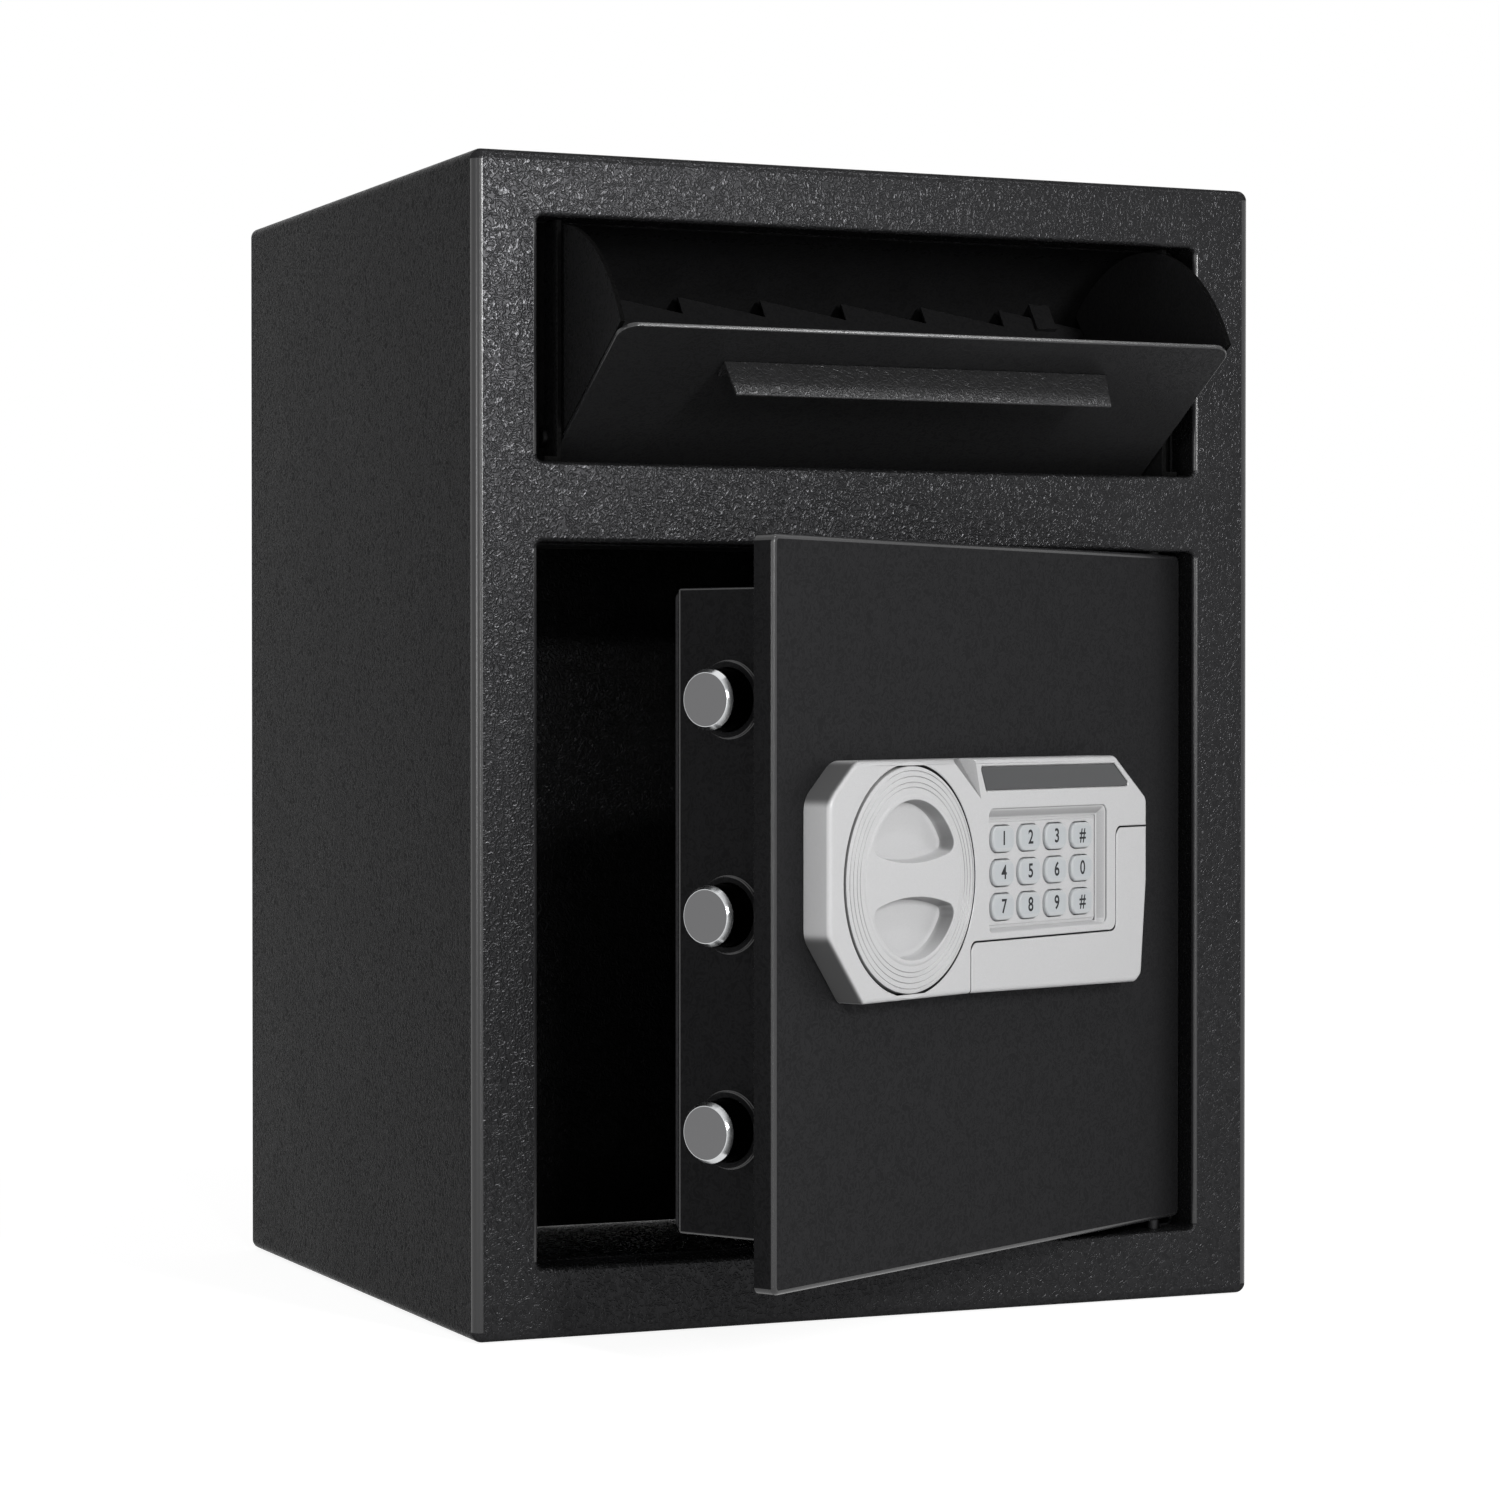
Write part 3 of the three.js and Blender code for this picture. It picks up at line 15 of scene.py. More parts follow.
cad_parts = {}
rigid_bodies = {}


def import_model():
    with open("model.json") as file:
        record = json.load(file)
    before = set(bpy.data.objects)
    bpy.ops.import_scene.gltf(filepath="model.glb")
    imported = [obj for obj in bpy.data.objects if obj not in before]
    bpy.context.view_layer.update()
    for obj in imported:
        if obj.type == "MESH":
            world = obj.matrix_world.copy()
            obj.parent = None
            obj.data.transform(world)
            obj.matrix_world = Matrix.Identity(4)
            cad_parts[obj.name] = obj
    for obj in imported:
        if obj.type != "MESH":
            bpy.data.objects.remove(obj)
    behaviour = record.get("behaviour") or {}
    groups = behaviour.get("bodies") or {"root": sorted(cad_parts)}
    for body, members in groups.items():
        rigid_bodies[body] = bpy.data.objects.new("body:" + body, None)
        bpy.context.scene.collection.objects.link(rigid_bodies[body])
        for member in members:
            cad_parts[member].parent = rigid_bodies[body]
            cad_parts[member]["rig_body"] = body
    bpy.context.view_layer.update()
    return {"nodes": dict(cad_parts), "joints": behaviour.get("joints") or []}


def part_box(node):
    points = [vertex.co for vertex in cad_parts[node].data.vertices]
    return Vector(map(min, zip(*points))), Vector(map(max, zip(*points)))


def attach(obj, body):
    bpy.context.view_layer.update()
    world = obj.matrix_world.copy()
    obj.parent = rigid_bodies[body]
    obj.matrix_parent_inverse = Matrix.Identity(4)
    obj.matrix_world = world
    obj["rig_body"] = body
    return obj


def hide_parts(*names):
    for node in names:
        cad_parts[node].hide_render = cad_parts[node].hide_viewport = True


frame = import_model()
nodes = frame["nodes"]
joints = {joint["name"]: joint for joint in frame["joints"]}


# Cabinet body. 3 mm steel, folded and welded into one shell and ground smooth before powder coating.
# Both openings are flanged inwards, so that their rims are soft to the hand. Black wrinkle powder
# coat lies over the whole of it.
MM = 0.001
SHEET = 3.0
CABINET_CORNER = 4.5
CABINET_EDGE = 4.0
OPENING_CORNER = 2.8
RIM_EDGE = 2.0
FLANGE_DEPTH = 22.0
FLANGE_BEAD = 0.7
SIDE_BAND = 28.55
LOWER_OPENING = (30.3, 336.0)
UPPER_OPENING = (370.0, 472.6)
ANCHOR_RADIUS = 5.0
ANCHOR_INSET = 60.0
PIN_HOLE_RADIUS = 3.3
CUT_EDGE = 0.5
CUTTER_OVERRUN = 1.0
EDGE_BLACK = (0.02, 0.02, 0.021)
POWDER_BLACK = (0.023, 0.023, 0.024)
RIDGE_SCALE = 290.0
GRAIN_SCALE = 1100.0
PATCH_SCALE = 14.0

cabinet_place = Matrix.Scale(MM, 4)
half_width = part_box("cabinet_wrap")[1].x / MM
cabinet_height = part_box("cabinet_wrap")[1].z / MM
cabinet_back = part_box("cabinet_wrap")[1].y / MM
cabinet_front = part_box("front_frame")[0].y / MM
opening_half = half_width - SIDE_BAND
flange_end = cabinet_front + FLANGE_DEPTH


class Signal:
    """A number, colour or direction on its way through a finish. Sums and products add nodes."""

    def __init__(self, recipe, socket):
        self.recipe = recipe
        self.socket = socket

    def maths(self, operation, *terms):
        return self.recipe.node("ShaderNodeMath", {"operation": operation}, dict(enumerate(terms)))

    def __add__(self, other):
        return self.maths("ADD", self, other)

    __radd__ = __add__

    def __sub__(self, other):
        return self.maths("SUBTRACT", self, other)

    def __rsub__(self, other):
        return self.maths("SUBTRACT", other, self)

    def __mul__(self, other):
        return self.maths("MULTIPLY", self, other)

    __rmul__ = __mul__

    def __abs__(self):
        return self.maths("ABSOLUTE", self)

    def eased(self, low, high, start=0.0, end=1.0):
        """Start below low, end above high, and a smooth change between."""
        return self.recipe.node(
            "ShaderNodeMapRange", {"interpolation_type": "SMOOTHSTEP"},
            {"Value": self, "From Min": low, "From Max": high, "To Min": start, "To Max": end})


class Recipe:
    """The nodes of one finish, or of the world."""

    def __init__(self, tree):
        self.tree = tree

    def node(self, kind, settings=None, inputs=None, output=0):
        made = self.tree.nodes.new(kind)
        for name, value in (settings or {}).items():
            setattr(made, name, value)
        for name, value in (inputs or {}).items():
            self.feed(made.inputs[name], value)
        return Signal(self, made.outputs[output])

    def feed(self, socket, value):
        if isinstance(value, Signal):
            self.tree.links.new(value.socket, socket)
        elif socket.type == "RGBA" and len(value) == 3:
            socket.default_value = (*value, 1.0)
        else:
            socket.default_value = value

    def mix(self, factor, first, second):
        """First where the factor is 0, second where it is 1, for colours."""
        return self.node(
            "ShaderNodeMix", {"data_type": "RGBA"}, {0: factor, 6: first, 7: second}, output=2)


class Finish(Recipe):
    """A surface: its even values go straight on the shader, its varying ones come from the nodes."""

    def __init__(self, name, colour, roughness, metallic=0.0, even=None):
        self.material = bpy.data.materials.new(name)
        self.material.use_nodes = True
        super().__init__(self.material.node_tree)
        self.shader = self.tree.nodes["Principled BSDF"]
        self.place = self.node("ShaderNodeTexCoord", output="Object")
        values = {"Base Color": colour, "Roughness": roughness, "Metallic": metallic, **(even or {})}
        for socket, value in values.items():
            self.set(socket, value)

    def set(self, socket, value):
        self.feed(self.shader.inputs[socket], value)

    def noise(self, scale, detail=2.0, roughness=0.5, distortion=0.0):
        return self.node("ShaderNodeTexNoise", None, {
            "Vector": self.place, "Scale": scale, "Detail": detail, "Roughness": roughness,
            "Distortion": distortion})

    def haze(self, low, spread, scale, detail=2.0, roughness=0.5):
        """Lets the surface's roughness wander upwards from low, and gives back the noise it follows."""
        grain = self.noise(scale, detail, roughness)
        self.set("Roughness", low + grain * spread)
        return grain

    def raise_surface(self, height, millimetres):
        """Bumps as deep as that where the height goes from 0 to 1."""
        self.set("Normal", self.node(
            "ShaderNodeBump", None, {"Height": height, "Distance": millimetres * MM}, "Normal"))


def toned(colour, share):
    return tuple(part * share for part in colour)


def powder_coat(name, colour, depth, gloss):
    """Wrinkle powder coat with metal flake: winding ridges with a finer grain between them."""
    coat = Finish(name, colour, gloss, 0.6, {"Specular IOR Level": 0.02, "Specular Tint": (0.36,) * 3})
    broad = coat.noise(RIDGE_SCALE, 1.0, 0.5, 1.6)
    ridges = (1.0 - abs(broad * 2.0 - 1.0) * 3.2).eased(0.0, 1.0)
    fine = coat.noise(GRAIN_SCALE, 1.0, 0.6)
    patches = coat.noise(PATCH_SCALE, 3.0, 0.55)
    coat.raise_surface(ridges + fine * 0.3, depth)
    coat.set("Roughness", gloss + (patches - 0.5) * 0.1 + (1.0 - ridges) * 0.12)
    coat.set("Base Color", coat.mix(ridges, toned(colour, 0.9), toned(colour, 1.2)))
    return coat


wrinkle_coat = powder_coat("black_wrinkle_coat", POWDER_BLACK, 0.13, 0.2)
edge_coat = Finish("black_edge_coat", EDGE_BLACK, 0.24)
edge_coat.raise_surface(edge_coat.haze(0.2, 0.1, 500.0), 0.01)


def outline(corners, radii, inset=0.0, steps=6):
    """A polygon's points, anticlockwise: its sides moved inwards, then its corners rounded."""
    count = len(corners)
    insets = inset if isinstance(inset, list) else [inset] * count
    radii = radii if isinstance(radii, list) else [radii] * count
    points = []
    for i in range(count):
        here = Vector(corners[i])
        first = (here - Vector(corners[i - 1])).normalized()
        second = (Vector(corners[(i + 1) % count]) - here).normalized()
        turn = first.cross(second)
        near, far = insets[i - 1], insets[i]
        corner = here + Vector((
            (near * second.x - far * first.x) / turn,
            (near * second.y - far * first.y) / turn))
        sign = math.copysign(1.0, turn)
        radius = max(radii[i] - sign * (near + far) / 2.0, 0.01)
        angle = math.atan2(abs(turn), first.dot(second))
        start = corner - first * radius * math.tan(angle / 2.0)
        centre = start + Vector((-first.y, first.x)) * sign * radius
        arm = start - centre
        for step in range(steps + 1):
            swing = sign * angle * step / steps
            points.append(centre + Vector((
                arm.x * math.cos(swing) - arm.y * math.sin(swing),
                arm.x * math.sin(swing) + arm.y * math.cos(swing))))
    return points


def rectangle(left, bottom, right, top):
    return [(left, bottom), (right, bottom), (right, top), (left, top)]


def rounding(edge, steps=5, side=1.0, start=0.0):
    """How far in and how deep a rounded edge's rings lie, from the face on. Side -1 is for a hole."""
    angles = [math.pi / 2.0 * step / steps for step in range(steps + 1)]
    return [
        (start + side * (edge * (1.0 - math.sin(angle))), edge * (1.0 - math.cos(angle)))
        for angle in angles]


def rounding_back(edge, steps=5):
    """The same rings for an edge that leads on to a back face."""
    return [(inset, -depth) for inset, depth in reversed(rounding(edge, steps))]


def placed(name, data):
    made = bpy.data.objects.new(name, data)
    bpy.context.scene.collection.objects.link(made)
    return made


class Skin:
    """Faces laid between rings of points."""

    def __init__(self):
        self.points = []
        self.faces = []

    def ring(self, points):
        start = len(self.points)
        self.points.extend(Vector(point) for point in points)
        return list(range(start, len(self.points)))

    def flat(self, points, depth):
        """A ring that lies across the depth, which is Y."""
        return self.ring([(point[0], depth, point[1]) for point in points])

    def loops(self, corners, radii, rims, base=0.0, steps=6):
        """Rings of a rounded outline, one for each pair of how far in and how deep it lies."""
        return [self.flat(outline(corners, radii, inset, steps), base + depth) for inset, depth in rims]

    def bands(self, *rings):
        for near, far in zip(rings, rings[1:]):
            for i in range(len(near)):
                j = (i + 1) % len(near)
                self.faces.append((near[i], near[j], far[j], far[i]))

    def fill(self, outer, *holes):
        loops = [outer, *holes]
        order = [index for loop in loops for index in loop]
        for triangle in tessellate_polygon([[self.points[index] for index in loop] for loop in loops]):
            self.faces.append([order[index] for index in triangle])

    def closed(self, *rings):
        """Bands from ring to ring, with both ends filled."""
        self.bands(*rings)
        self.fill(rings[0])
        self.fill(rings[-1])

    def turn(self, profile, axis, centre, segments):
        """A turned piece: its profile, as radius and place along the axis, goes round a centre."""
        rings = []
        for radius, along in profile:
            points = []
            for step in range(segments):
                angle = 2.0 * math.pi * step / segments
                point = [centre[0] + radius * math.cos(angle), centre[1] + radius * math.sin(angle)]
                point.insert("xyz".index(axis), along)
                points.append(point)
            rings.append(self.ring(points))
        self.bands(*rings)
        return rings

    def rod(self, profile, axis, centre, segments):
        """A turned piece that is closed at both ends."""
        rings = self.turn(profile, axis, centre, segments)
        self.faces += [rings[0], rings[-1]]

    def solid(self, name, place):
        mesh = bpy.data.meshes.new(name)
        mesh.from_pydata([place @ point for point in self.points], [], self.faces)
        work = bmesh.new()
        work.from_mesh(mesh)
        bmesh.ops.recalc_face_normals(work, faces=work.faces)
        work.to_mesh(mesh)
        work.free()
        return placed(name, mesh)


def drill(radius, start, end, axis, centre, segments=32):
    """A rod that cuts a round hole."""
    bit = Skin()
    bit.rod([(radius, start), (radius, end)], axis, centre, segments)
    return bit


def settle(piece):
    """Leaves a plain mesh in place of a piece's modifiers."""
    bpy.context.view_layer.update()
    settled = bpy.data.meshes.new_from_object(piece.evaluated_get(bpy.context.evaluated_depsgraph_get()))
    piece.modifiers.clear()
    piece.data = settled


def carve(piece, cutter_skins, place):
    """Cuts rods and blocks out of a piece."""
    cutters = [skin.solid(f"cutter_{index}", place) for index, skin in enumerate(cutter_skins)]
    for cutter in cutters:
        cut = piece.modifiers.new("cut", "BOOLEAN")
        cut.object = cutter
        cut.solver = "MANIFOLD"
    settle(piece)
    for cutter in cutters:
        bpy.data.objects.remove(cutter)


def dress(piece, body, finish, *stands_for, crease=32.0):
    """Smooths a piece, gives it its finish and sets it on its body in place of the CAD nodes."""
    mesh = piece.data
    mesh.materials.clear()
    mesh.materials.append(finish.material)
    mesh.shade_smooth()
    mesh.set_sharp_from_angle(angle=math.radians(crease))
    weighted = piece.modifiers.new("even_shading", "WEIGHTED_NORMAL")
    weighted.keep_sharp = True
    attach(piece, body)
    if stands_for:
        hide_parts(*stands_for)
    return piece


def second_finish(piece, finish, place, picked):
    """Gives faces another finish where the test picks their middle and direction, in the place's axes."""
    piece.data.materials.append(finish.material)
    last = len(piece.data.materials) - 1
    back, turn = place.inverted(), place.to_3x3().inverted()
    for face in piece.data.polygons:
        if picked(back @ face.center, (turn @ face.normal).normalized()):
            face.material_index = last


def upright_edge(middle, way):
    """True on the rounding of an upright edge, where the wet coat draws out thin and smooth."""
    return abs(way.z) < 0.02 and max(abs(way.x), abs(way.y)) < 0.995


def cabinet_shell():
    skin = Skin()
    body = rectangle(-half_width, 0.0, half_width, cabinet_height)
    inner_front = cabinet_front + SHEET
    outside = skin.loops(body, CABINET_CORNER, [(CUT_EDGE, cabinet_back), (0.0, cabinet_back - CUT_EDGE)])
    outside += skin.loops(body, CABINET_CORNER, reversed(rounding(CABINET_EDGE)), cabinet_front)
    inside = skin.loops(body, CABINET_CORNER, [(SHEET, cabinet_back), (SHEET, inner_front)])
    skin.bands(*outside)
    skin.bands(outside[0], *inside)
    mouths = []
    roots = []
    for bottom, top in (LOWER_OPENING, UPPER_OPENING):
        opening = rectangle(-opening_half, bottom, opening_half, top)
        rings = skin.loops(opening, OPENING_CORNER, rounding(RIM_EDGE, side=-1.0), cabinet_front)
        rings += skin.loops(opening, OPENING_CORNER, [
            (0.0, flange_end - 3.0 * FLANGE_BEAD), (0.7 * FLANGE_BEAD, flange_end - 2.4 * FLANGE_BEAD),
            (FLANGE_BEAD, flange_end - 1.6 * FLANGE_BEAD), (0.7 * FLANGE_BEAD, flange_end - CUT_EDGE),
            (0.0, flange_end), (CUT_EDGE - SHEET, flange_end), (-SHEET, flange_end - CUT_EDGE),
            (-SHEET, inner_front)])
        skin.bands(*rings)
        mouths.append(rings[0])
        roots.append(rings[-1])
    skin.fill(outside[-1], *mouths)
    skin.fill(inside[-1], *roots)
    return skin.solid("cabinet_shell", cabinet_place)


hinge_line = Vector(joints["door_swing"]["pos_m"]) / MM
shell_cutters = [
    drill(ANCHOR_RADIUS, -CUTTER_OVERRUN, SHEET + CUTTER_OVERRUN, "z", (x, y))
    for x in (-half_width + ANCHOR_INSET, half_width - ANCHOR_INSET)
    for y in (-cabinet_back + ANCHOR_INSET, cabinet_back - ANCHOR_INSET)]
shell_cutters += [
    drill(PIN_HOLE_RADIUS, edge - CUTTER_OVERRUN, edge + SHEET + CUTTER_OVERRUN, "z", hinge_line.xy)
    for edge in (LOWER_OPENING[0] - SHEET, LOWER_OPENING[1])]
shell = cabinet_shell()
carve(shell, shell_cutters, cabinet_place)
dress(shell, "cabinet", wrinkle_coat, "cabinet_wrap", "front_frame")
second_finish(shell, edge_coat, cabinet_place, upright_edge)


# Back panel, deposit shelf, hood and hopper side plates. Laser-cut and folded sheet, welded inside
# the body. The back panel keeps the wrinkle coat; the others have a thinner and smoother coat. Their cut
# edges are only just broken.
BROKEN_EDGE = 0.3
SMOOTH_BLACK = (0.031, 0.031, 0.032)
SHADE_BLACK = (0.004, 0.004, 0.004)

smooth_coat = powder_coat("black_smooth_coat", SMOOTH_BLACK, 0.03, 0.3)
# Painted shade: a near-black copy of the coat for the side plates' front cut edges and the cheeks' sheet
# edges, which lie in shade.
shade_black_coat = powder_coat("black_painted_shade_coat", SHADE_BLACK, 0.05, 0.6)


def broken_edges(node, finish, edge=BROKEN_EDGE):
    """A copy of a folded sheet from the frame with its cut edges broken."""
    source = nodes[node]
    piece = placed(f"{node}_eased", source.data.copy())
    work = bmesh.new()
    work.from_mesh(piece.data)
    bmesh.ops.remove_doubles(work, verts=work.verts, dist=1e-6)
    bmesh.ops.dissolve_limit(work, angle_limit=math.radians(1.0), verts=work.verts, edges=work.edges)
    work.to_mesh(piece.data)
    work.free()
    bevel = piece.modifiers.new("broken_edge", "BEVEL")
    bevel.width = edge * MM
    bevel.segments = 2
    bevel.limit_method = "ANGLE"
    bevel.angle_limit = math.radians(40.0)
    settle(piece)
    return dress(piece, source["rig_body"], finish, node, crease=35.0)


def front_cut(middle, way):
    """True on cut edges that look to the front."""
    return way.y < -0.5


broken_edges("back_panel", wrinkle_coat)
for plate in ("deposit_shelf", "hopper_hood"):
    broken_edges(plate, smooth_coat)
for plate in ("hopper_side_plate_left", "hopper_side_plate_right"):
    second_finish(broken_edges(plate, smooth_coat), shade_black_coat, cabinet_place, front_cut)


# Deposit hopper. A 2 mm front panel with rounded top corners, two quarter-round cheeks and a bin
# floor that ends in saw teeth, so that nothing can be drawn back up. It turns on two steel pins.
PANEL_CORNERS = [1.0, 1.0, 8.0, 8.0]
PANEL_SHEET_EDGE = 0.45
CHEEK_EDGE = 0.22

hopper_tilt = joints["hopper_tilt"]
hopper_angle = math.radians(-hopper_tilt["range_deg"][0])
hopper_place = (
    Matrix.Translation(hopper_tilt["pos_m"]) @ Matrix.Rotation(hopper_angle, 4, "X") @ Matrix.Scale(MM, 4))


def measured(node, place):
    """A CAD node's lowest and highest corners in the axes of the part that carries it."""
    back = place.inverted()
    points = [back @ vertex.co for vertex in nodes[node].data.vertices]
    return (
        Vector([min(point[axis] for point in points) for axis in range(3)]),
        Vector([max(point[axis] for point in points) for axis in range(3)]))


def hopper_panel():
    low, high = measured("hopper_panel", hopper_place)
    skin = Skin()
    shape = rectangle(low.x, low.z, high.x, high.z)
    skin.closed(
        *skin.loops(shape, PANEL_CORNERS, rounding(PANEL_SHEET_EDGE, 3), low.y, 10),
        *skin.loops(shape, PANEL_CORNERS, rounding_back(PANEL_SHEET_EDGE, 3), high.y, 10))
    return skin.solid("hopper_front", hopper_place)


def panel_rim(middle, way):
    """True on the edge of the hopper's panel and on the rounding that leads to it."""
    return abs(way.y) < 0.97


def cheek_rim(middle, way):
    """True on the sheet edge of a cheek, but not on its broken corners."""
    return abs(way.x) < 0.3


panel = dress(hopper_panel(), "hopper", smooth_coat, "hopper_panel")
second_finish(panel, edge_coat, hopper_place, panel_rim)
broken_edges("hopper_back_plate", smooth_coat)
for plate in ("hopper_cheek_left", "hopper_cheek_right"):
    second_finish(broken_edges(plate, smooth_coat, CHEEK_EDGE), shade_black_coat, hopper_place, cheek_rim)


# Pull ledge of the hopper. One strip of steel, bent over at the front of the panel and spot welded by
# its short flange, with the cabinet's kind of wrinkle coat in a lighter black as painted light, and its
# ends cut back a little.
LEDGE_SHEET = 1.5
LEDGE_BEND = 3.0
LEDGE_END_CUT = 1.8
LEDGE_EDGE = 0.25
LEDGE_LIT_BLACK = (0.042, 0.042, 0.043)


def pull_ledge():
    low, high = measured("hopper_handle", hopper_place)
    skin = Skin()
    profile = [
        (high.y, low.z), (high.y, high.z), (low.y, high.z), (low.y, high.z - LEDGE_SHEET),
        (high.y - LEDGE_SHEET, high.z - LEDGE_SHEET), (high.y - LEDGE_SHEET, low.z)]
    corners = [0.3, 0.3, LEDGE_SHEET * 0.45, LEDGE_SHEET * 0.45, LEDGE_BEND, 0.3]

    def ring(x, inset):
        side = math.copysign(1.0, x)
        cut = LEDGE_END_CUT / (high.y - low.y)
        return skin.ring([
            (x - side * cut * (high.y - point.x), point.x, point.y)
            for point in outline(profile, corners, inset, 5)])

    skin.closed(
        ring(low.x, LEDGE_EDGE), ring(low.x + LEDGE_EDGE, 0.0), ring(high.x - LEDGE_EDGE, 0.0),
        ring(high.x, LEDGE_EDGE))
    return skin.solid("pull_ledge", hopper_place)


ledge_lit_coat = powder_coat("black_ledge_coat_painted_light", LEDGE_LIT_BLACK, 0.1, 0.26)
dress(pull_ledge(), "hopper", ledge_lit_coat, "hopper_handle")


# Pins of the hopper and the door. Turned steel with a flat head at one end, chemically blackened and
# oiled, which leaves a blotchy dark sheen.
PIN_HEAD = 2.0
PIN_EDGE = 0.4
HOPPER_PIN_RADII = (4.0, 5.4)
HINGE_PIN_RADII = (3.0, 5.5)
BLOTCH_SCALE = 160.0

blackened = Finish("blackened_steel", (0.03, 0.03, 0.031), 0.4, 1.0, {"Specular Tint": (0.4,) * 3})
blackened.haze(0.34, 0.16, BLOTCH_SCALE, 4.0, 0.6)


def stepped_pin(name, node, body, place, axis, radii, head_at_high):
    """A turned pin with a flat head at one end and its sharp edges broken."""
    low, high = measured(node, place)
    index = "xyz".index(axis)
    centre = [(low[i] + high[i]) / 2.0 for i in range(3) if i != index]
    start, end = (high[index], low[index]) if head_at_high else (low[index], high[index])
    way = math.copysign(1.0, end - start)
    radius, head = radii
    profile = [
        (head - PIN_EDGE, start), (head, start + way * PIN_EDGE),
        (head, start + way * (PIN_HEAD - PIN_EDGE / 2.0)), (head - PIN_EDGE / 2.0, start + way * PIN_HEAD),
        (radius, start + way * PIN_HEAD), (radius, end - way * PIN_EDGE), (radius - PIN_EDGE, end)]
    skin = Skin()
    skin.rod(profile, axis, centre, 40)
    dress(skin.solid(name, place), body, blackened, node)


for side in ("left", "right"):
    stepped_pin(
        f"hopper_pivot_{side}", f"hopper_pin_{side}", "hopper", hopper_place, "x", HOPPER_PIN_RADII,
        side == "left")
for end in ("top", "bottom"):
    stepped_pin(
        f"hinge_pivot_{end}", f"hinge_pin_{end}", "cabinet", cabinet_place, "z", HINGE_PIN_RADII,
        end == "top")


# Door plate. 2 mm steel with its four edges turned back 10 mm, so that it looks like a thick slab,
# cut for the hinge pins, the spindle, the battery holder and the key cylinder.
DOOR_SHEET = 2.0
DOOR_CORNER = 3.6
DOOR_EDGE = 2.0
DOOR_CUT_EDGE = 0.4
PIN_SLOT_DEPTH = DOOR_SHEET + 0.5
HOLDER_GAP = 0.3
SPINDLE_HOLE_RADIUS = 6.0
CYLINDER_HOLE_RADIUS = 8.3
DOOR_BLACK = (0.023, 0.023, 0.024)
PAN_SHADE_BLACK = (0.01, 0.01, 0.0105)

door_swing = joints["door_swing"]
door_angle = math.radians(-door_swing["range_deg"][0])
door_place = (
    Matrix.Translation((hinge_line.x * MM, hinge_line.y * MM, 0.0))
    @ Matrix.Rotation(door_angle, 4, "Z") @ Matrix.Scale(MM, 4))
door_low, door_high = measured("door_plate", door_place)


def block(left, front, bottom, right, back, top):
    skin = Skin()
    shape = rectangle(left, bottom, right, top)
    near = skin.flat(shape, front)
    far = skin.flat(shape, back)
    skin.bands(near, far)
    skin.faces += [near, far]
    return skin


def door_plate():
    skin = Skin()
    shape = rectangle(door_low.x, door_low.z, door_high.x, door_high.z)
    skin.closed(
        *skin.loops(shape, DOOR_CORNER, rounding(DOOR_EDGE), door_low.y),
        *skin.loops(shape, DOOR_CORNER, [
            (0.0, door_high.y - DOOR_CUT_EDGE), (DOOR_CUT_EDGE, door_high.y),
            (DOOR_SHEET - DOOR_CUT_EDGE, door_high.y), (DOOR_SHEET, door_high.y - DOOR_CUT_EDGE),
            (DOOR_SHEET, door_low.y + DOOR_SHEET)]))
    return skin.solid("door_slab", door_place)


knob_low, knob_high = measured("lock_knob", door_place)
knob_x = (knob_low.x + knob_high.x) / 2.0
knob_z = (knob_low.z + knob_high.z) / 2.0
knob_radius = (knob_high.x - knob_low.x) / 2.0
holder_low, holder_high = measured("battery_holder", door_place)
cylinder_low, cylinder_high = measured("key_cylinder", door_place)
cylinder_x = (cylinder_low.x + cylinder_high.x) / 2.0
cylinder_z = (cylinder_low.z + cylinder_high.z) / 2.0

through = (door_low.y - CUTTER_OVERRUN, door_low.y + DOOR_SHEET + CUTTER_OVERRUN)
slab = door_plate()
pin_slots = [
    block(-PIN_HOLE_RADIUS, -PIN_HOLE_RADIUS, bottom, PIN_HOLE_RADIUS, door_high.y + CUTTER_OVERRUN, top)
    for bottom, top in (
        (door_low.z - CUTTER_OVERRUN, door_low.z + PIN_SLOT_DEPTH),
        (door_high.z - PIN_SLOT_DEPTH, door_high.z + CUTTER_OVERRUN))]
carve(slab, [
    *pin_slots,
    block(holder_low.x - HOLDER_GAP, through[0], holder_low.z - HOLDER_GAP, holder_high.x + HOLDER_GAP,
          through[1], holder_high.z + HOLDER_GAP),
    drill(SPINDLE_HOLE_RADIUS, *through, "y", (knob_x, knob_z)),
    drill(CYLINDER_HOLE_RADIUS, *through, "y", (cylinder_x, cylinder_z))], door_place)
door_coat = powder_coat("black_door_coat", DOOR_BLACK, 0.05, 0.4)
# Painted shade: the pan's coat is a darker copy of the door's, for the shade behind the plate, and the
# door's lock-side edge takes it too.
pan_shaded_coat = powder_coat("black_pan_coat_painted_shade", PAN_SHADE_BLACK, 0.04, 0.42)


def door_rounding(middle, way):
    """True where the door's metal is bent or broken, away from its flat faces."""
    return max(abs(way.x), abs(way.y), abs(way.z)) < 0.99 and abs(way.z) < 0.9


def door_side(middle, way):
    """True on the door's turned-back edge on the lock side, which gets the pan's darker coat as painted
    shade.
    """
    return way.x < -0.95


dress(slab, "door", door_coat, "door_plate")
second_finish(slab, edge_coat, door_place, door_rounding)
second_finish(slab, pan_shaded_coat, door_place, door_side)


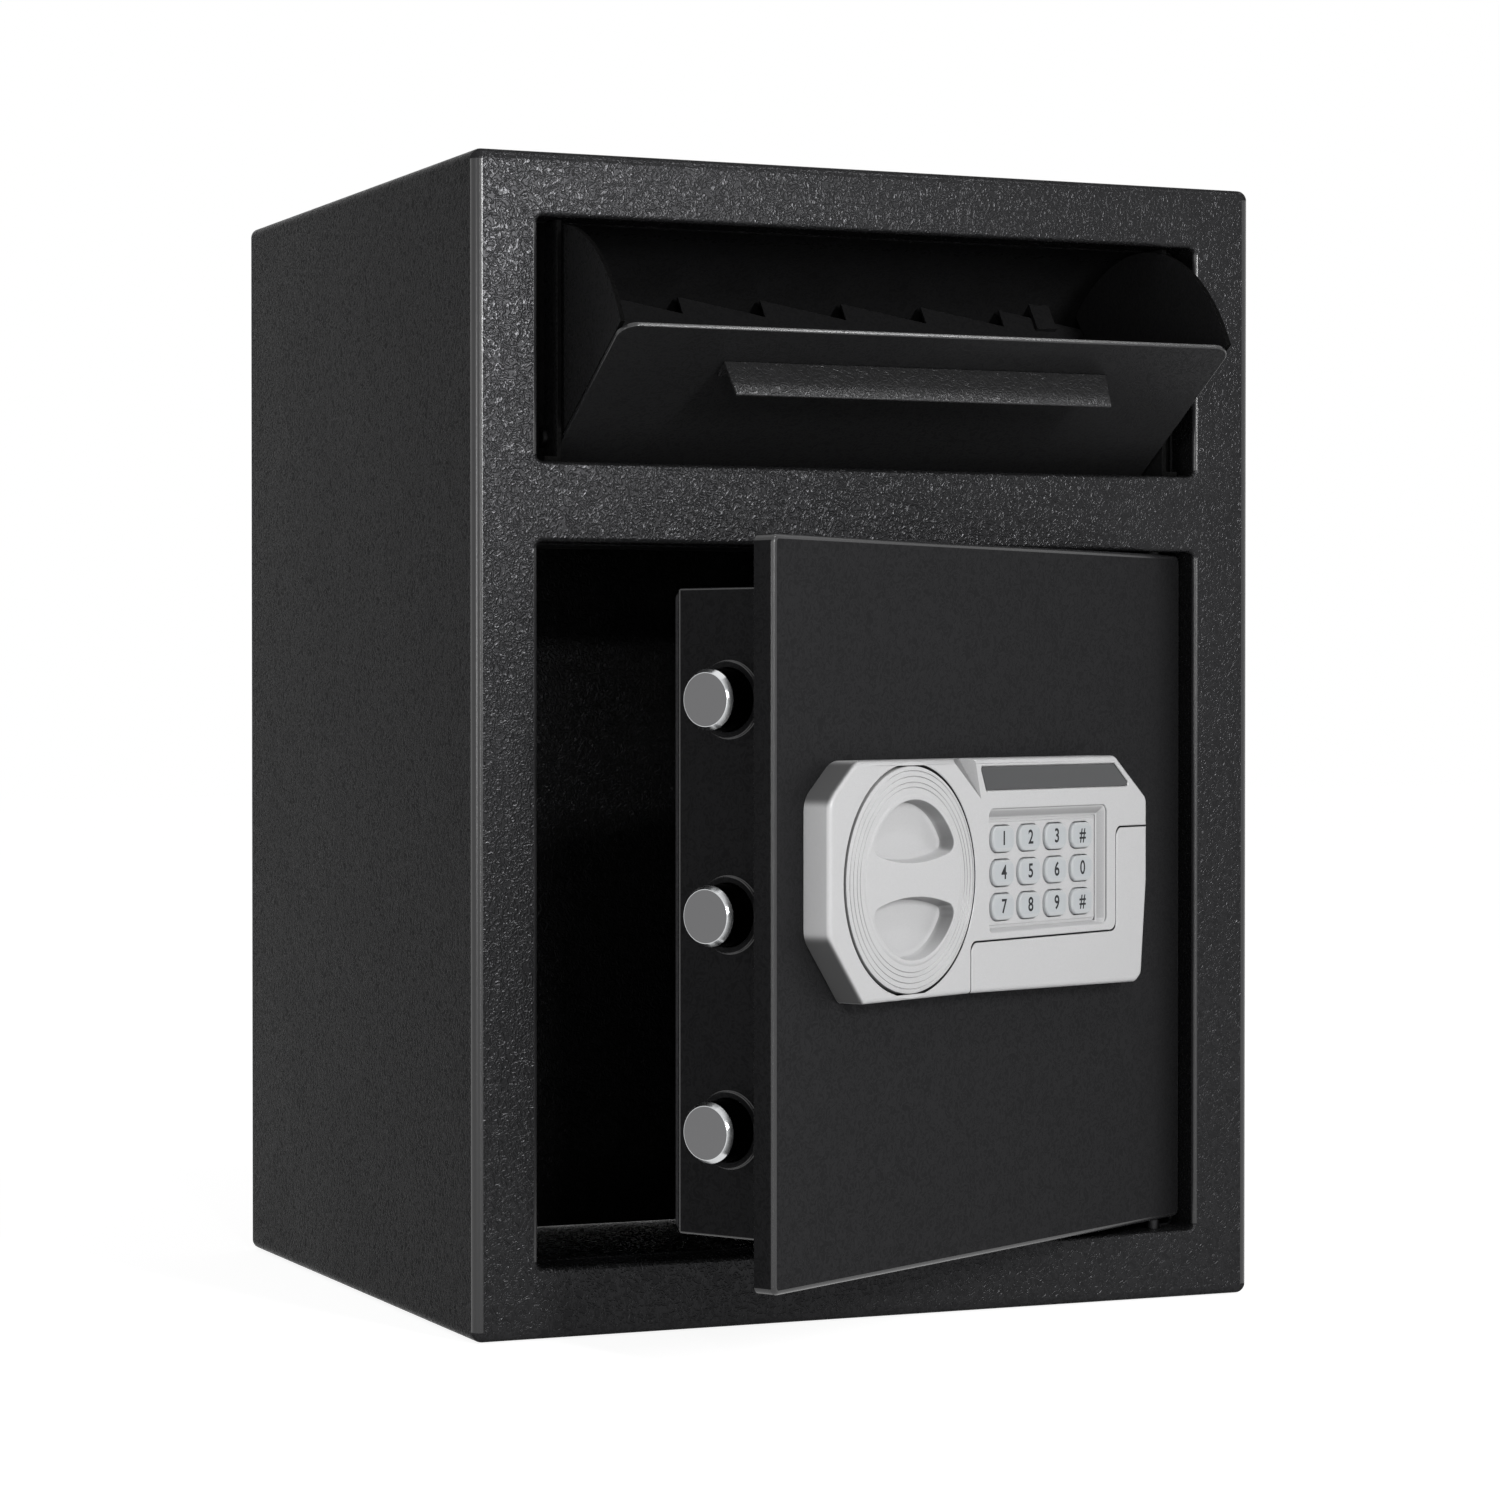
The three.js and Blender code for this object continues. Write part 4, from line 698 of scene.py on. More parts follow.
# Pan behind the door plate, with a lip for its cover and a collar pressed out round each bolt hole.
# 1.5 mm steel, welded to the plate, and coated with it. The screws of its cover are zinc plated.
PAN_SHEET = 1.5
PAN_LIP = 12.0
PAN_BEND = 2.0
PAN_CORNER = 1.2
COLLAR_WIDTH = 2.6
COLLAR_HEIGHT = 1.2
BOLT_CLEARANCE = 0.5
SCREW_SHANK = 2.0
SCREW_HEAD = ((4.0, 0.0), (3.9, 0.5), (3.5, 1.1), (2.6, 1.6), (1.2, 1.8))
SCREW_SLOT = (2.2, 0.4)
SCREW_SLOT_FLOOR = 0.7
ZINC_GREY = (0.46, 0.47, 0.48)

pan_low, pan_high = measured("door_pan", door_place)
pan_left = pan_low.x + COLLAR_HEIGHT
bolt_boxes = {name: measured(f"bolt_{name}", door_place) for name in ("bottom", "middle", "top")}
bolt_low, bolt_high = bolt_boxes["top"]
bolt_radius = (bolt_high.z - bolt_low.z) / 2.0
bolt_hole_radius = bolt_radius + BOLT_CLEARANCE
bolt_tip = bolt_low.x
bolt_end = bolt_high.x
bolt_y = (bolt_low.y + bolt_high.y) / 2.0
bolt_heights = {name: (low.z + high.z) / 2.0 for name, (low, high) in bolt_boxes.items()}


def door_pan():
    skin = Skin()
    rings = skin.loops(rectangle(pan_left, pan_low.z, pan_high.x, pan_high.z), PAN_CORNER, [
        (0.25, pan_low.y), (0.0, pan_low.y + 0.25),
        *((inset, pan_high.y + depth) for inset, depth in rounding_back(PAN_BEND)),
        (PAN_LIP - 0.3, pan_high.y), (PAN_LIP, pan_high.y - 0.3), (PAN_LIP, pan_high.y - PAN_SHEET),
        (PAN_SHEET, pan_high.y - PAN_SHEET), (PAN_SHEET, pan_low.y)])
    skin.bands(*rings, rings[0])
    return skin.solid("bolt_pan", door_place)


pan = door_pan()
pan_wall = (pan_left - 2.0 * CUTTER_OVERRUN, pan_left + PAN_SHEET + CUTTER_OVERRUN)
carve(pan, [
    drill(bolt_hole_radius, *pan_wall, "x", (bolt_y, height), 72) for height in bolt_heights.values()],
    door_place)
dress(pan, "door", pan_shaded_coat, "door_pan")
second_finish(pan, edge_coat, door_place, door_rounding)
for name, height in bolt_heights.items():
    collar = Skin()
    outer = bolt_hole_radius + COLLAR_WIDTH
    face = pan_left - COLLAR_HEIGHT
    rings = collar.turn(
        [(outer + 0.5, pan_left + 0.1), (outer, pan_left - 0.25), (outer, face + 0.4), (outer - 0.4, face),
         (bolt_hole_radius + 0.3, face), (bolt_hole_radius, face + 0.3),
         (bolt_hole_radius, pan_left + PAN_SHEET)], "x", (bolt_y, height), 72)
    collar.bands(rings[-1], rings[0])
    pressed = dress(collar.solid(f"bolt_collar_{name}", door_place), "door", pan_shaded_coat)
    second_finish(pressed, edge_coat, door_place, door_rounding)
broken_edges("door_back_cover", door_coat)
for end in ("top", "bottom"):
    broken_edges(f"hinge_block_{end}", door_coat)

zinc = Finish("zinc_plate", ZINC_GREY, 0.34, 1.0)
zinc_blotch = zinc.haze(0.26, 0.22, BLOTCH_SCALE, 4.0, 0.6)
zinc.set("Base Color", zinc.mix(zinc_blotch, (0.38, 0.39, 0.42), (0.54, 0.54, 0.53)))
for index in range(4):
    node = f"cover_screw_{index + 1}"
    low, high = measured(node, door_place)
    seat = high.y - SCREW_HEAD[-1][1]
    x, z = (low.x + high.x) / 2.0, (low.z + high.z) / 2.0
    screw = Skin()
    screw.rod(
        [(SCREW_SHANK, low.y), (SCREW_SHANK, seat), *((radius, seat + up) for radius, up in SCREW_HEAD)],
        "y", (x, z), 32)
    piece = screw.solid(f"cover_screw_{index + 1}_turned", door_place)
    carve(piece, [
        block(x - long, seat + SCREW_SLOT_FLOOR, z - wide, x + long, seat + 3.0, z + wide)
        for long, wide in (SCREW_SLOT, SCREW_SLOT[::-1])], door_place)
    dress(piece, "door", zinc, node)


# Lock bolts. Solid 25 mm steel bars, chrome plated, with a bright turned chamfer round a satin face.
# They are screwed to the zinc plated carriage inside the pan.
CHAMFER_IN = 1.7
CHAMFER_LONG = 2.4
CHROME_GREY = (0.6, 0.61, 0.62)
BAR_DARK_REFLECTION_GREY = (0.016, 0.016, 0.017)
BOLT_FACE_REFLECTION_GREY = (0.155, 0.155, 0.158)

chrome = Finish("chrome_plate", CHROME_GREY, 0.2, 1.0)
chrome.haze(0.16, 0.1, 60.0, 3.0, 0.6)
# Painted reflection: the sides of the chrome bars are painted near black, as the dark surroundings they
# mirror.
bar_painted_reflection = Finish("bar_painted_dark_reflection", BAR_DARK_REFLECTION_GREY, 0.2, 1.0, {"Specular Tint": (0.5,) * 3})
bar_painted_reflection.haze(0.14, 0.1, 60.0, 3.0, 0.6)
# Painted reflection: the satin faces are painted a darker grey than the chrome, as the dimmer surroundings
# they mirror.
satin_face_painted_reflection = Finish("turned_bolt_face_painted_reflection", BOLT_FACE_REFLECTION_GREY, 0.38, 1.0)
satin_face_painted_reflection.haze(0.32, 0.16, 900.0, 2.0, 0.6)


def within(reach):
    """A test that is true on the faces whose middle lies less than that from a bolt's tip."""
    return lambda middle, way: middle.x - bolt_tip < reach


for name, height in bolt_heights.items():
    bar = Skin()
    rings = bar.turn(
        [(bolt_radius - CHAMFER_IN - 0.15, bolt_tip), (bolt_radius - CHAMFER_IN + 0.1, bolt_tip + 0.08),
         (bolt_radius - 0.15, bolt_tip + CHAMFER_LONG - 0.25), (bolt_radius, bolt_tip + CHAMFER_LONG + 0.2),
         (bolt_radius, bolt_end)], "x", (bolt_y, height), 96)
    bar.faces += [rings[-1], rings[0]]
    piece = dress(bar.solid(f"lock_bolt_{name}", door_place), "bolt_works", bar_painted_reflection, f"bolt_{name}")
    second_finish(piece, chrome, door_place, within(CHAMFER_LONG + 0.2))
    second_finish(piece, satin_face_painted_reflection, door_place, within(0.01))
for node in ("bolt_carriage", "drive_crank"):
    broken_edges(node, zinc)
for node in ("knob_spindle", "solenoid_plunger", "plunger_spring"):
    nodes[node].data.materials.clear()
    nodes[node].data.materials.append(zinc.material)


# Lock housing. One ABS moulding sprayed with fine silver metallic paint, with a well for the knob, a
# sloped recess for the keypad, a slot for the display and a creased facet beside it.
LOCK_MIDDLE = 155.95
HOUSING_CORNERS = {
    "foot_left": (43.1, 147.8), "foot_right": (252.5, 145.4), "heel": (257.0, 148.4),
    "right_low": (261.3, 190.0), "right_high": (261.3, 226.5), "shoulder": (235.0, 245.2),
    "top_left": (38.2, 245.2), "left_high": (19.6, 230.2), "left_low": (19.6, 174.6)}
SEAM_HALF = 0.3
COVER_LEFT = 120.5
COVER_TOP = 169.0
LEG_LEFT = 235.0
LEG_TOP = 214.0
SEAM_CORNER = 4.0
SEAM_END_CORNER = 0.8
HOUSING_EDGE = 2.2
SEAM_EDGE = 0.7
WELL_FLOOR = 2.2
KEYPAD_MOUTH = (134.2, 172.5, 227.0, 223.8)
KEYPAD_SLOPES = (1.0, 3.6, 3.6, 1.0)
KEYPAD_FOOT = 1.15
KEYPAD_WALL = ((0.25, 1.1), (0.85, 3.1), (1.0, 3.5), (KEYPAD_FOOT, 3.6))
KEYPAD_CORNER = 3.0
KEYPAD_LIP = 0.8
DISPLAY_CORNERS = [(132.2, 231.7), (247.3, 231.7), (233.5, 241.9), (127.7, 241.9)]
DISPLAY_CORNER = 1.2
DISPLAY_LIP = 0.8
DISPLAY_DEPTH = 1.6
KNOB_GAP = 1.0
FACET = {"left": 105.8, "right": 123.2, "apex": (127.7, 228.4), "depth": 6.5, "valley": 0.16}
FACET_RISE = 12.0
FACET_SPAN = 22.0
HOUSING_CREASE = 28.0
SILVER = (0.48, 0.48, 0.485)
GAP_SHADE_GREY = (0.02, 0.02, 0.021)
FLAKE_SCALE = 5200.0
DRIFT_SCALE = 40.0
PAINTED_SHADE_SHARE = 0.22
FACET_SHADE_SHARE = 0.4

door_middle = (door_low.x + door_high.x) / 2.0
housing_low, housing_high = measured("lock_housing", door_place)
housing_front = housing_low.y
housing_back = housing_high.y


def metallic_paint(name, colour, shade_mask=None):
    """Fine silver flake under a satin lacquer, with painted shade: darker on the walls that the shade mask
    picks.
    """
    paint = Finish(name, colour, 0.4, 0.06, {"Specular IOR Level": 0.25})
    flake = paint.noise(FLAKE_SCALE, 1.0)
    drift = paint.noise(DRIFT_SCALE, 3.0)
    paint.set("Roughness", 0.36 + (flake - 0.5) * 0.18 + (drift - 0.5) * 0.1)
    sprayed = paint.mix(flake.eased(0.35, 0.65), toned(colour, 0.93), toned(colour, 1.08))
    if shade_mask:
        sprayed = paint.mix(shade_mask(paint), sprayed, toned(colour, PAINTED_SHADE_SHARE))
    paint.set("Base Color", sprayed)
    return paint


def facing(paint, way):
    """How far the surface faces a direction in the door's axes, from -1 to 1."""
    normal = paint.node("ShaderNodeTexCoord", output="Normal")
    across = (door_place.to_3x3() @ Vector(way)).normalized()
    return paint.node("ShaderNodeVectorMath", {"operation": "DOT_PRODUCT"}, {0: normal, 1: across}, "Value")


def painted_shade_on_slants(paint):
    """Painted shade on the two slanted walls beside the left one, which the lamps leave dark."""
    return (facing(paint, (-1.0, 0.0, 0.0)) * abs(facing(paint, (0.0, 0.0, 1.0)))).eased(0.12, 0.46)


def painted_shade_in_recess(paint):
    """Painted shade on the walls of a recess that look left or down."""
    left = facing(paint, (-1.0, 0.0, 0.0)).eased(0.25, 0.95, 0.0, 0.8)
    down = facing(paint, (0.0, 0.0, -1.0)).eased(0.25, 0.95, 0.0, 0.75)
    return left.maths("MAXIMUM", left, down)


# Painted shade: this silver is painted darker on walls that face left and slant up or down, on the housing,
# cover and keypad plate.
silver_paint = metallic_paint("silver_paint", SILVER, painted_shade_on_slants)
# Painted shade: this silver is painted darker on recess walls that look left or down, in the keypad and the
# knob's scoops.
recess_shade_paint = metallic_paint("silver_paint_recess_painted_shade", SILVER, painted_shade_in_recess)
# Painted shade: a darker copy of the silver for the facet's long slope.
facet_shade_paint = metallic_paint("silver_paint_facet_painted_shade", toned(SILVER, FACET_SHADE_SHARE))
# Painted shade: a near-black finish for the walls inside the knob's well and the seams.
gap_shade_dark = Finish("seam_gap_painted_shade", GAP_SHADE_GREY, 0.6, even={"Specular IOR Level": 0.1})
gap_shade_dark.haze(0.52, 0.16, 1600.0)


def on_lock(points):
    """From places across the lock to places across the door."""
    return [(door_middle + across - LOCK_MIDDLE, up) for across, up in points]


def moulded_rings(skin, corners, radii, edges, front, steps=6):
    """Rings of a moulded front edge, each side with its own rounding, from the face to the wall."""
    rings = []
    for share_in, share_deep in rounding(1.0):
        points = outline(corners, radii, [edge * share_in for edge in edges], steps)
        deep = []
        for i in range(len(corners)):
            for step in range(steps + 1):
                blend = step / steps
                deep.append((edges[i - 1] * (1.0 - blend) + edges[i] * blend) * share_deep)
        rings.append(skin.ring([
            (point.x, front + depth, point.y) for point, depth in zip(points, deep)]))
    return rings


def keypad_ring(skin, depth, share, inset=0.0, corner=KEYPAD_CORNER):
    """A ring of the keypad's recess: its mouth at share 0, and further in as its walls slope down."""
    insets = [slope * share + inset for slope in KEYPAD_SLOPES]
    return skin.flat(outline(on_lock(rectangle(*KEYPAD_MOUTH)), corner, insets, 8), depth)


window_corners = on_lock(DISPLAY_CORNERS)


def lock_housing():
    skin = Skin()
    c = HOUSING_CORNERS
    seam_left, seam_top = COVER_LEFT - SEAM_HALF, COVER_TOP + SEAM_HALF
    leg_left, leg_top = LEG_LEFT - SEAM_HALF, LEG_TOP + SEAM_HALF
    corners = on_lock([
        c["foot_left"], (seam_left, c["foot_left"][1]), (seam_left, seam_top), (leg_left, seam_top),
        (leg_left, leg_top), (c["right_high"][0], leg_top), c["right_high"], c["shoulder"], c["top_left"],
        c["left_high"], c["left_low"]])
    radii = [
        4.0, SEAM_END_CORNER, SEAM_CORNER, SEAM_CORNER, SEAM_CORNER, SEAM_END_CORNER, 5.0, 4.0, 14.0, 10.0,
        10.0]
    edges = [HOUSING_EDGE] + [SEAM_EDGE] * 4 + [HOUSING_EDGE] * 6
    rim = moulded_rings(skin, corners, radii, edges, housing_front)
    back = skin.flat(outline(corners, radii), housing_back)
    skin.bands(*rim, back)

    well_radius = knob_radius + KNOB_GAP
    well = skin.turn([
        *((well_radius + out, housing_front + depth) for out, depth in rounding(SEAM_EDGE, 3)),
        (well_radius, housing_back - WELL_FLOOR)], "y", (knob_x, knob_z), 144)
    skin.fill(well[-1])

    recess = [
        keypad_ring(skin, housing_front + depth, 0.0, inset)
        for inset, depth in rounding(KEYPAD_LIP, 4, -1.0)]
    recess += [keypad_ring(skin, housing_front + depth, share) for share, depth in KEYPAD_WALL]
    recess.append(keypad_ring(skin, housing_back - 1.0, KEYPAD_FOOT))
    skin.bands(*recess)
    skin.fill(recess[-1])

    slot = skin.loops(
        window_corners, DISPLAY_CORNER, [*rounding(DISPLAY_LIP, 3, -1.0), (0.0, DISPLAY_DEPTH)],
        housing_front, 4)
    skin.bands(*slot)
    skin.fill(slot[-1])

    skin.fill(rim[0], well[0], recess[0], slot[0])
    skin.fill(back)
    return skin.solid("silver_housing", door_place)


def facet_cutter():
    """A wedge that leaves a crease: a long slope on the left and a short steep one on the right."""
    skin = Skin()
    top = HOUSING_CORNERS["top_left"][1]
    apex = FACET["apex"]
    spread = (top + FACET_RISE - apex[1]) / (top - apex[1])
    edge_left, edge_right = on_lock([
        (apex[0] + (FACET[side] - apex[0]) * spread, top + FACET_RISE) for side in ("left", "right")])
    valley_x = edge_right[0] - (edge_right[0] - edge_left[0]) * FACET["valley"]
    (apex_x, apex_z), = on_lock([apex])
    corners = [
        (apex_x, housing_front, apex_z), (edge_left[0], housing_front, edge_left[1]),
        (valley_x, housing_front + FACET["depth"] * spread, edge_left[1]),
        (edge_right[0], housing_front, edge_right[1])]
    base = skin.ring(corners)
    over = skin.ring([
        (x, housing_front - CUTTER_OVERRUN, z) for x, y, z in (corners[0], corners[1], corners[3])])
    skin.faces += [
        (base[0], base[1], base[2]), (base[0], base[2], base[3]), tuple(over),
        (base[0], base[1], over[1], over[0]), (base[0], base[3], over[2], over[0]),
        (base[1], base[2], base[3], over[2], over[1])]
    return skin


def facet_slope(middle, way):
    """True on the long slope of the facet beside the display."""
    (apex_x, apex_z), = on_lock([FACET["apex"]])
    return (
        middle.z > apex_z and abs(middle.x - apex_x) < FACET_SPAN and middle.y > housing_front + 0.01
        and 0.1 < way.x < 0.97 and way.y < -0.3)


def across_lock(middle):
    return middle.x - door_middle + LOCK_MIDDLE


def in_keypad(middle):
    left, bottom, right, top = KEYPAD_MOUTH
    return left - 1.0 < across_lock(middle) < right + 1.0 and bottom - 1.0 < middle.z < top + 1.0


def gap_wall(middle, way):
    """True on the walls of the knob's well and of the seam, which are painted dark as shade."""
    if abs(way.y) > 0.3 or middle.y < housing_front + SEAM_EDGE * 0.6:
        return False
    in_well = math.hypot(middle.x - knob_x, middle.z - knob_z) < knob_radius + KNOB_GAP + 0.5
    by_seam = across_lock(middle) > COVER_LEFT - 1.0 and middle.z < LEG_TOP + 1.0
    return in_well or (by_seam and not in_keypad(middle))


def keypad_wall(middle, way):
    """True on the walls of the keypad's recess."""
    return in_keypad(middle) and housing_front + 0.01 < middle.y < housing_back - 2.0


housing = lock_housing()
carve(housing, [facet_cutter()], door_place)
dress(housing, "door", silver_paint, "lock_housing", crease=HOUSING_CREASE)
# The facet's long slope is painted darker as painted shade.
second_finish(housing, facet_shade_paint, door_place, facet_slope)
# The well and seam walls get painted shade.
second_finish(housing, gap_shade_dark, door_place, gap_wall)
# The keypad recess walls get painted shade.
second_finish(housing, recess_shade_paint, door_place, keypad_wall)


# Battery cover. The same silver moulding, L-shaped, clipped in flush with the housing along a fine
# seam. It has walls on its outer sides only, so it slides to the right past the cells and the key lock.
COVER_WALL = 2.2


def battery_cover():
    skin = Skin()
    c = HOUSING_CORNERS
    seam_left, seam_top = COVER_LEFT + SEAM_HALF, COVER_TOP - SEAM_HALF
    leg_left, leg_top = LEG_LEFT + SEAM_HALF, LEG_TOP - SEAM_HALF
    corners = on_lock([
        (seam_left, c["foot_left"][1]), c["foot_right"], c["heel"], c["right_low"],
        (c["right_low"][0], leg_top), (leg_left, leg_top), (leg_left, seam_top), (seam_left, seam_top)])
    radii = [SEAM_END_CORNER, 4.0, 4.0, 4.0, SEAM_END_CORNER, SEAM_CORNER, SEAM_CORNER, SEAM_CORNER]
    edges = [HOUSING_EDGE] * 4 + [SEAM_EDGE] * 4
    skin.closed(
        *moulded_rings(skin, corners, radii, edges, housing_front),
        skin.flat(outline(corners, radii), housing_back))
    moulding = skin.solid("silver_cover", door_place)
    room = Skin()
    inside = outline(corners, radii, [COVER_WALL] * 4 + [-COVER_WALL] * 4)
    room.closed(
        room.flat(inside, housing_front + COVER_WALL), room.flat(inside, housing_back + CUTTER_OVERRUN))
    carve(moulding, [room], door_place)
    return moulding


def cover_gap_wall(middle, way):
    """True on the cover's walls along the seam."""
    return abs(way.y) < 0.3 and (way.x < -0.3 or way.z > 0.3)


cover = dress(battery_cover(), "battery_door", silver_paint, "battery_cover", crease=HOUSING_CREASE)
# The cover's seam walls get painted shade.
second_finish(cover, gap_shade_dark, door_place, cover_gap_wall)


# Display. A smoked acrylic strip, cut to shape and pressed into its slot just under the face, over an
# unlit digit tube.
DISPLAY_SINK = 0.35
DISPLAY_GAP = 0.3
STRIP_EDGE = 0.25

smoked = Finish("smoked_display", (0.05, 0.051, 0.053), 0.32, even={"Specular IOR Level": 0.28})
smoked.haze(0.26, 0.1, 90.0)
window = Skin()
window.closed(*window.loops(
    window_corners, DISPLAY_CORNER, [
        *((inset, DISPLAY_SINK + depth) for inset, depth in rounding(STRIP_EDGE, 3, start=DISPLAY_GAP)),
        (DISPLAY_GAP, DISPLAY_DEPTH - DISPLAY_GAP)], housing_front, 4))
dress(window.solid("display_strip", door_place), "door", smoked, "display_window")


# Keypad plate. The floor of the recess, a separate silver moulding with a soft raised rim and a close
# hole round each key.
KEY_PITCH = (20.7, 14.3)
KEY_SIZE = (17.2, 11.0)
KEY_CORNER = 4.9
KEY_GAP = 0.4
PLATE_PROUD = 0.5
PLATE_RIM = 1.2
PLATE_GAP = 0.1
PLATE_CORNER = KEYPAD_CORNER + 2.0
HOLE_EDGE = 0.35
KEY_NAMES = ["1", "2", "3", "hash_top", "4", "5", "6", "0", "7", "8", "9", "hash_bottom"]

key_low, key_high = measured("key_1", door_place)
last_low, last_high = measured("key_hash_bottom", door_place)
keypad_centre = ((key_low.x + last_high.x) / 2.0, (key_high.z + last_low.z) / 2.0)
plate_low, plate_high = measured("keypad_plate", door_place)
plate_face = plate_low.y - PLATE_PROUD
plate_back = plate_high.y


def key_place(index):
    column, row = index % 4, index // 4
    return (
        keypad_centre[0] + (column - 1.5) * KEY_PITCH[0], keypad_centre[1] - (row - 1.0) * KEY_PITCH[1])


def key_loops(skin, index, rims, base=0.0):
    """Rings of a key's outline."""
    x, z = key_place(index)
    width, height = KEY_SIZE
    shape = rectangle(x - width / 2.0, z - height / 2.0, x + width / 2.0, z + height / 2.0)
    return skin.loops(shape, KEY_CORNER, rims, base, 8)


def keypad_plate():
    skin = Skin()
    rim = [
        keypad_ring(skin, plate_face + depth, KEYPAD_FOOT, inset, PLATE_CORNER)
        for inset, depth in rounding(PLATE_PROUD, 4, start=PLATE_RIM)]
    rim += [
        keypad_ring(skin, depth, KEYPAD_FOOT, PLATE_GAP, PLATE_CORNER)
        for depth in (plate_low.y, plate_back)]
    skin.bands(*rim)
    mouths = []
    feet = []
    for index in range(len(KEY_NAMES)):
        hole = key_loops(skin, index, rounding(HOLE_EDGE, 3, -1.0, -KEY_GAP), plate_face)
        hole += key_loops(skin, index, [(-KEY_GAP, plate_back)])
        skin.bands(*hole)
        mouths.append(hole[0])
        feet.append(hole[-1])
    skin.fill(rim[0], *mouths)
    skin.fill(rim[-1], *feet)
    return skin.solid("keypad_floor", door_place)


dress(keypad_plate(), "door", silver_paint, "keypad_plate", crease=HOUSING_CREASE)


# Keys. Pale blue-grey moulded caps with rounded shoulders and a slightly dished top, each with its
# digit printed in dark grey a little to the right of the middle.
KEY_EDGE = 0.7
KEY_DISH = 0.12
KEY_DISH_START = 1.7
KEY_DISH_END = 3.2
KEY_FOOT_GAP = 0.3
KEY_GREY = (0.4, 0.42, 0.435)
KEY_RIM_LIT_GREY = (0.42, 0.435, 0.445)
DIGIT_HEIGHT = 6.1
CAPITAL_SHARE = 0.73
DIGIT_SHIFT = 0.3
DIGIT_WEIGHT = 0.14
DIGIT_THICKNESS = 0.01
DIGIT_LIFT = 0.03

ink = Finish("key_print", (0.012, 0.013, 0.015), 0.55, even={"Specular IOR Level": 0.2})
# Painted light: the caps' shoulders are a lighter grey than their dished tops, as a painted highlight.
key_cap = Finish("key_cap", KEY_GREY, 0.42)
key_rim_painted_light = Finish("key_cap_rim_painted_light", KEY_RIM_LIT_GREY, 0.38)
for plastic, tone in ((key_cap, KEY_GREY), (key_rim_painted_light, KEY_RIM_LIT_GREY)):
    grain = plastic.haze(0.36, 0.12, 1800.0)
    plastic.set("Base Color", plastic.mix(grain, toned(tone, 0.96), toned(tone, 1.04)))

for index, name in enumerate(KEY_NAMES):
    x, z = key_place(index)
    foot = plate_back + KEY_FOOT_GAP
    cap = Skin()
    cap.closed(
        *key_loops(cap, index, [
            (KEY_DISH_END, KEY_DISH), (KEY_DISH_START, KEY_DISH * 0.7), *rounding(KEY_EDGE)], key_low.y),
        *key_loops(cap, index, [(0.0, foot), (-KEY_EDGE, foot), (-KEY_EDGE, key_high.y)]))

    def dished_top(middle, way):
        """True on the dished top of this cap."""
        return (
            way.y <= 0.0 and middle.y <= key_low.y + KEY_DISH * 1.2
            and abs(middle.x - x) < KEY_SIZE[0] / 2.0 - KEY_DISH_START
            and abs(middle.z - z) < KEY_SIZE[1] / 2.0 - KEY_DISH_START)

    piece = cap.solid(f"key_cap_{name}", door_place)
    dress(piece, f"push_{name}", key_rim_painted_light, f"key_{name}", crease=40.0)
    second_finish(piece, key_cap, door_place, dished_top)
    words = bpy.data.curves.new(f"digit_{name}", "FONT")
    words.body = "#" if name.startswith("hash") else name
    words.size = DIGIT_HEIGHT / CAPITAL_SHARE
    words.align_x = "CENTER"
    words.align_y = "CENTER"
    words.extrude = DIGIT_THICKNESS
    words.offset = DIGIT_WEIGHT
    words.materials.append(ink.material)
    digit = placed(f"digit_{name}", words)
    digit.matrix_world = (
        door_place @ Matrix.Translation((x + DIGIT_SHIFT, key_low.y + KEY_DISH - DIGIT_LIFT, z))
        @ Matrix.Rotation(math.radians(90.0), 4, "X"))
    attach(digit, f"push_{name}")


# Circuit board and the bay behind the battery cover: a moulded cell holder, four sleeved cells and a
# brass key cylinder for the day the cells are flat.
BOARD_EDGE = 0.15
SOLENOID_EDGE = 0.6
CELL_TIP = (2.6, 1.5)

board_finish = Finish("solder_mask", (0.025, 0.12, 0.05), 0.4)
board_marks = board_finish.noise(700.0)
board_finish.set("Base Color", board_finish.mix(
    board_marks.eased(0.5, 0.56), (0.02, 0.1, 0.045), (0.04, 0.16, 0.07)))
black_plastic = Finish("black_moulding", (0.02, 0.02, 0.021), 0.45)
black_plastic.raise_surface(black_plastic.haze(0.38, 0.16, 1600.0), 0.02)
sleeve = Finish("cell_sleeve", (0.04, 0.1, 0.22), 0.3)
sleeve.haze(0.22, 0.16, 120.0)
brass = Finish("turned_brass", (0.6, 0.43, 0.18), 0.28, 1.0)
brass.haze(0.2, 0.18, 240.0, 3.0, 0.6)

broken_edges("circuit_board", board_finish, BOARD_EDGE)
broken_edges("battery_holder", black_plastic)
broken_edges("solenoid_body", black_plastic, SOLENOID_EDGE)
broken_edges("key_cylinder", brass)
for index in range(4):
    node = f"battery_{index + 1}"
    low, high = measured(node, door_place)
    radius = (high.z - low.z) / 2.0
    tip_radius, tip_height = CELL_TIP
    shoulder = high.x - tip_height
    cell = Skin()
    cell.rod([
        (radius - 1.2, low.x), (radius - 0.4, low.x + 0.1), (radius, low.x + 0.6), (radius, shoulder - 0.6),
        (radius - 0.5, shoulder), (tip_radius, shoulder), (tip_radius, high.x - 0.3),
        (tip_radius - 0.3, high.x)], "x", ((low.y + high.y) / 2.0, (low.z + high.z) / 2.0), 40)
    dress(cell.solid(f"cell_{index + 1}", door_place), "door", sleeve, node)


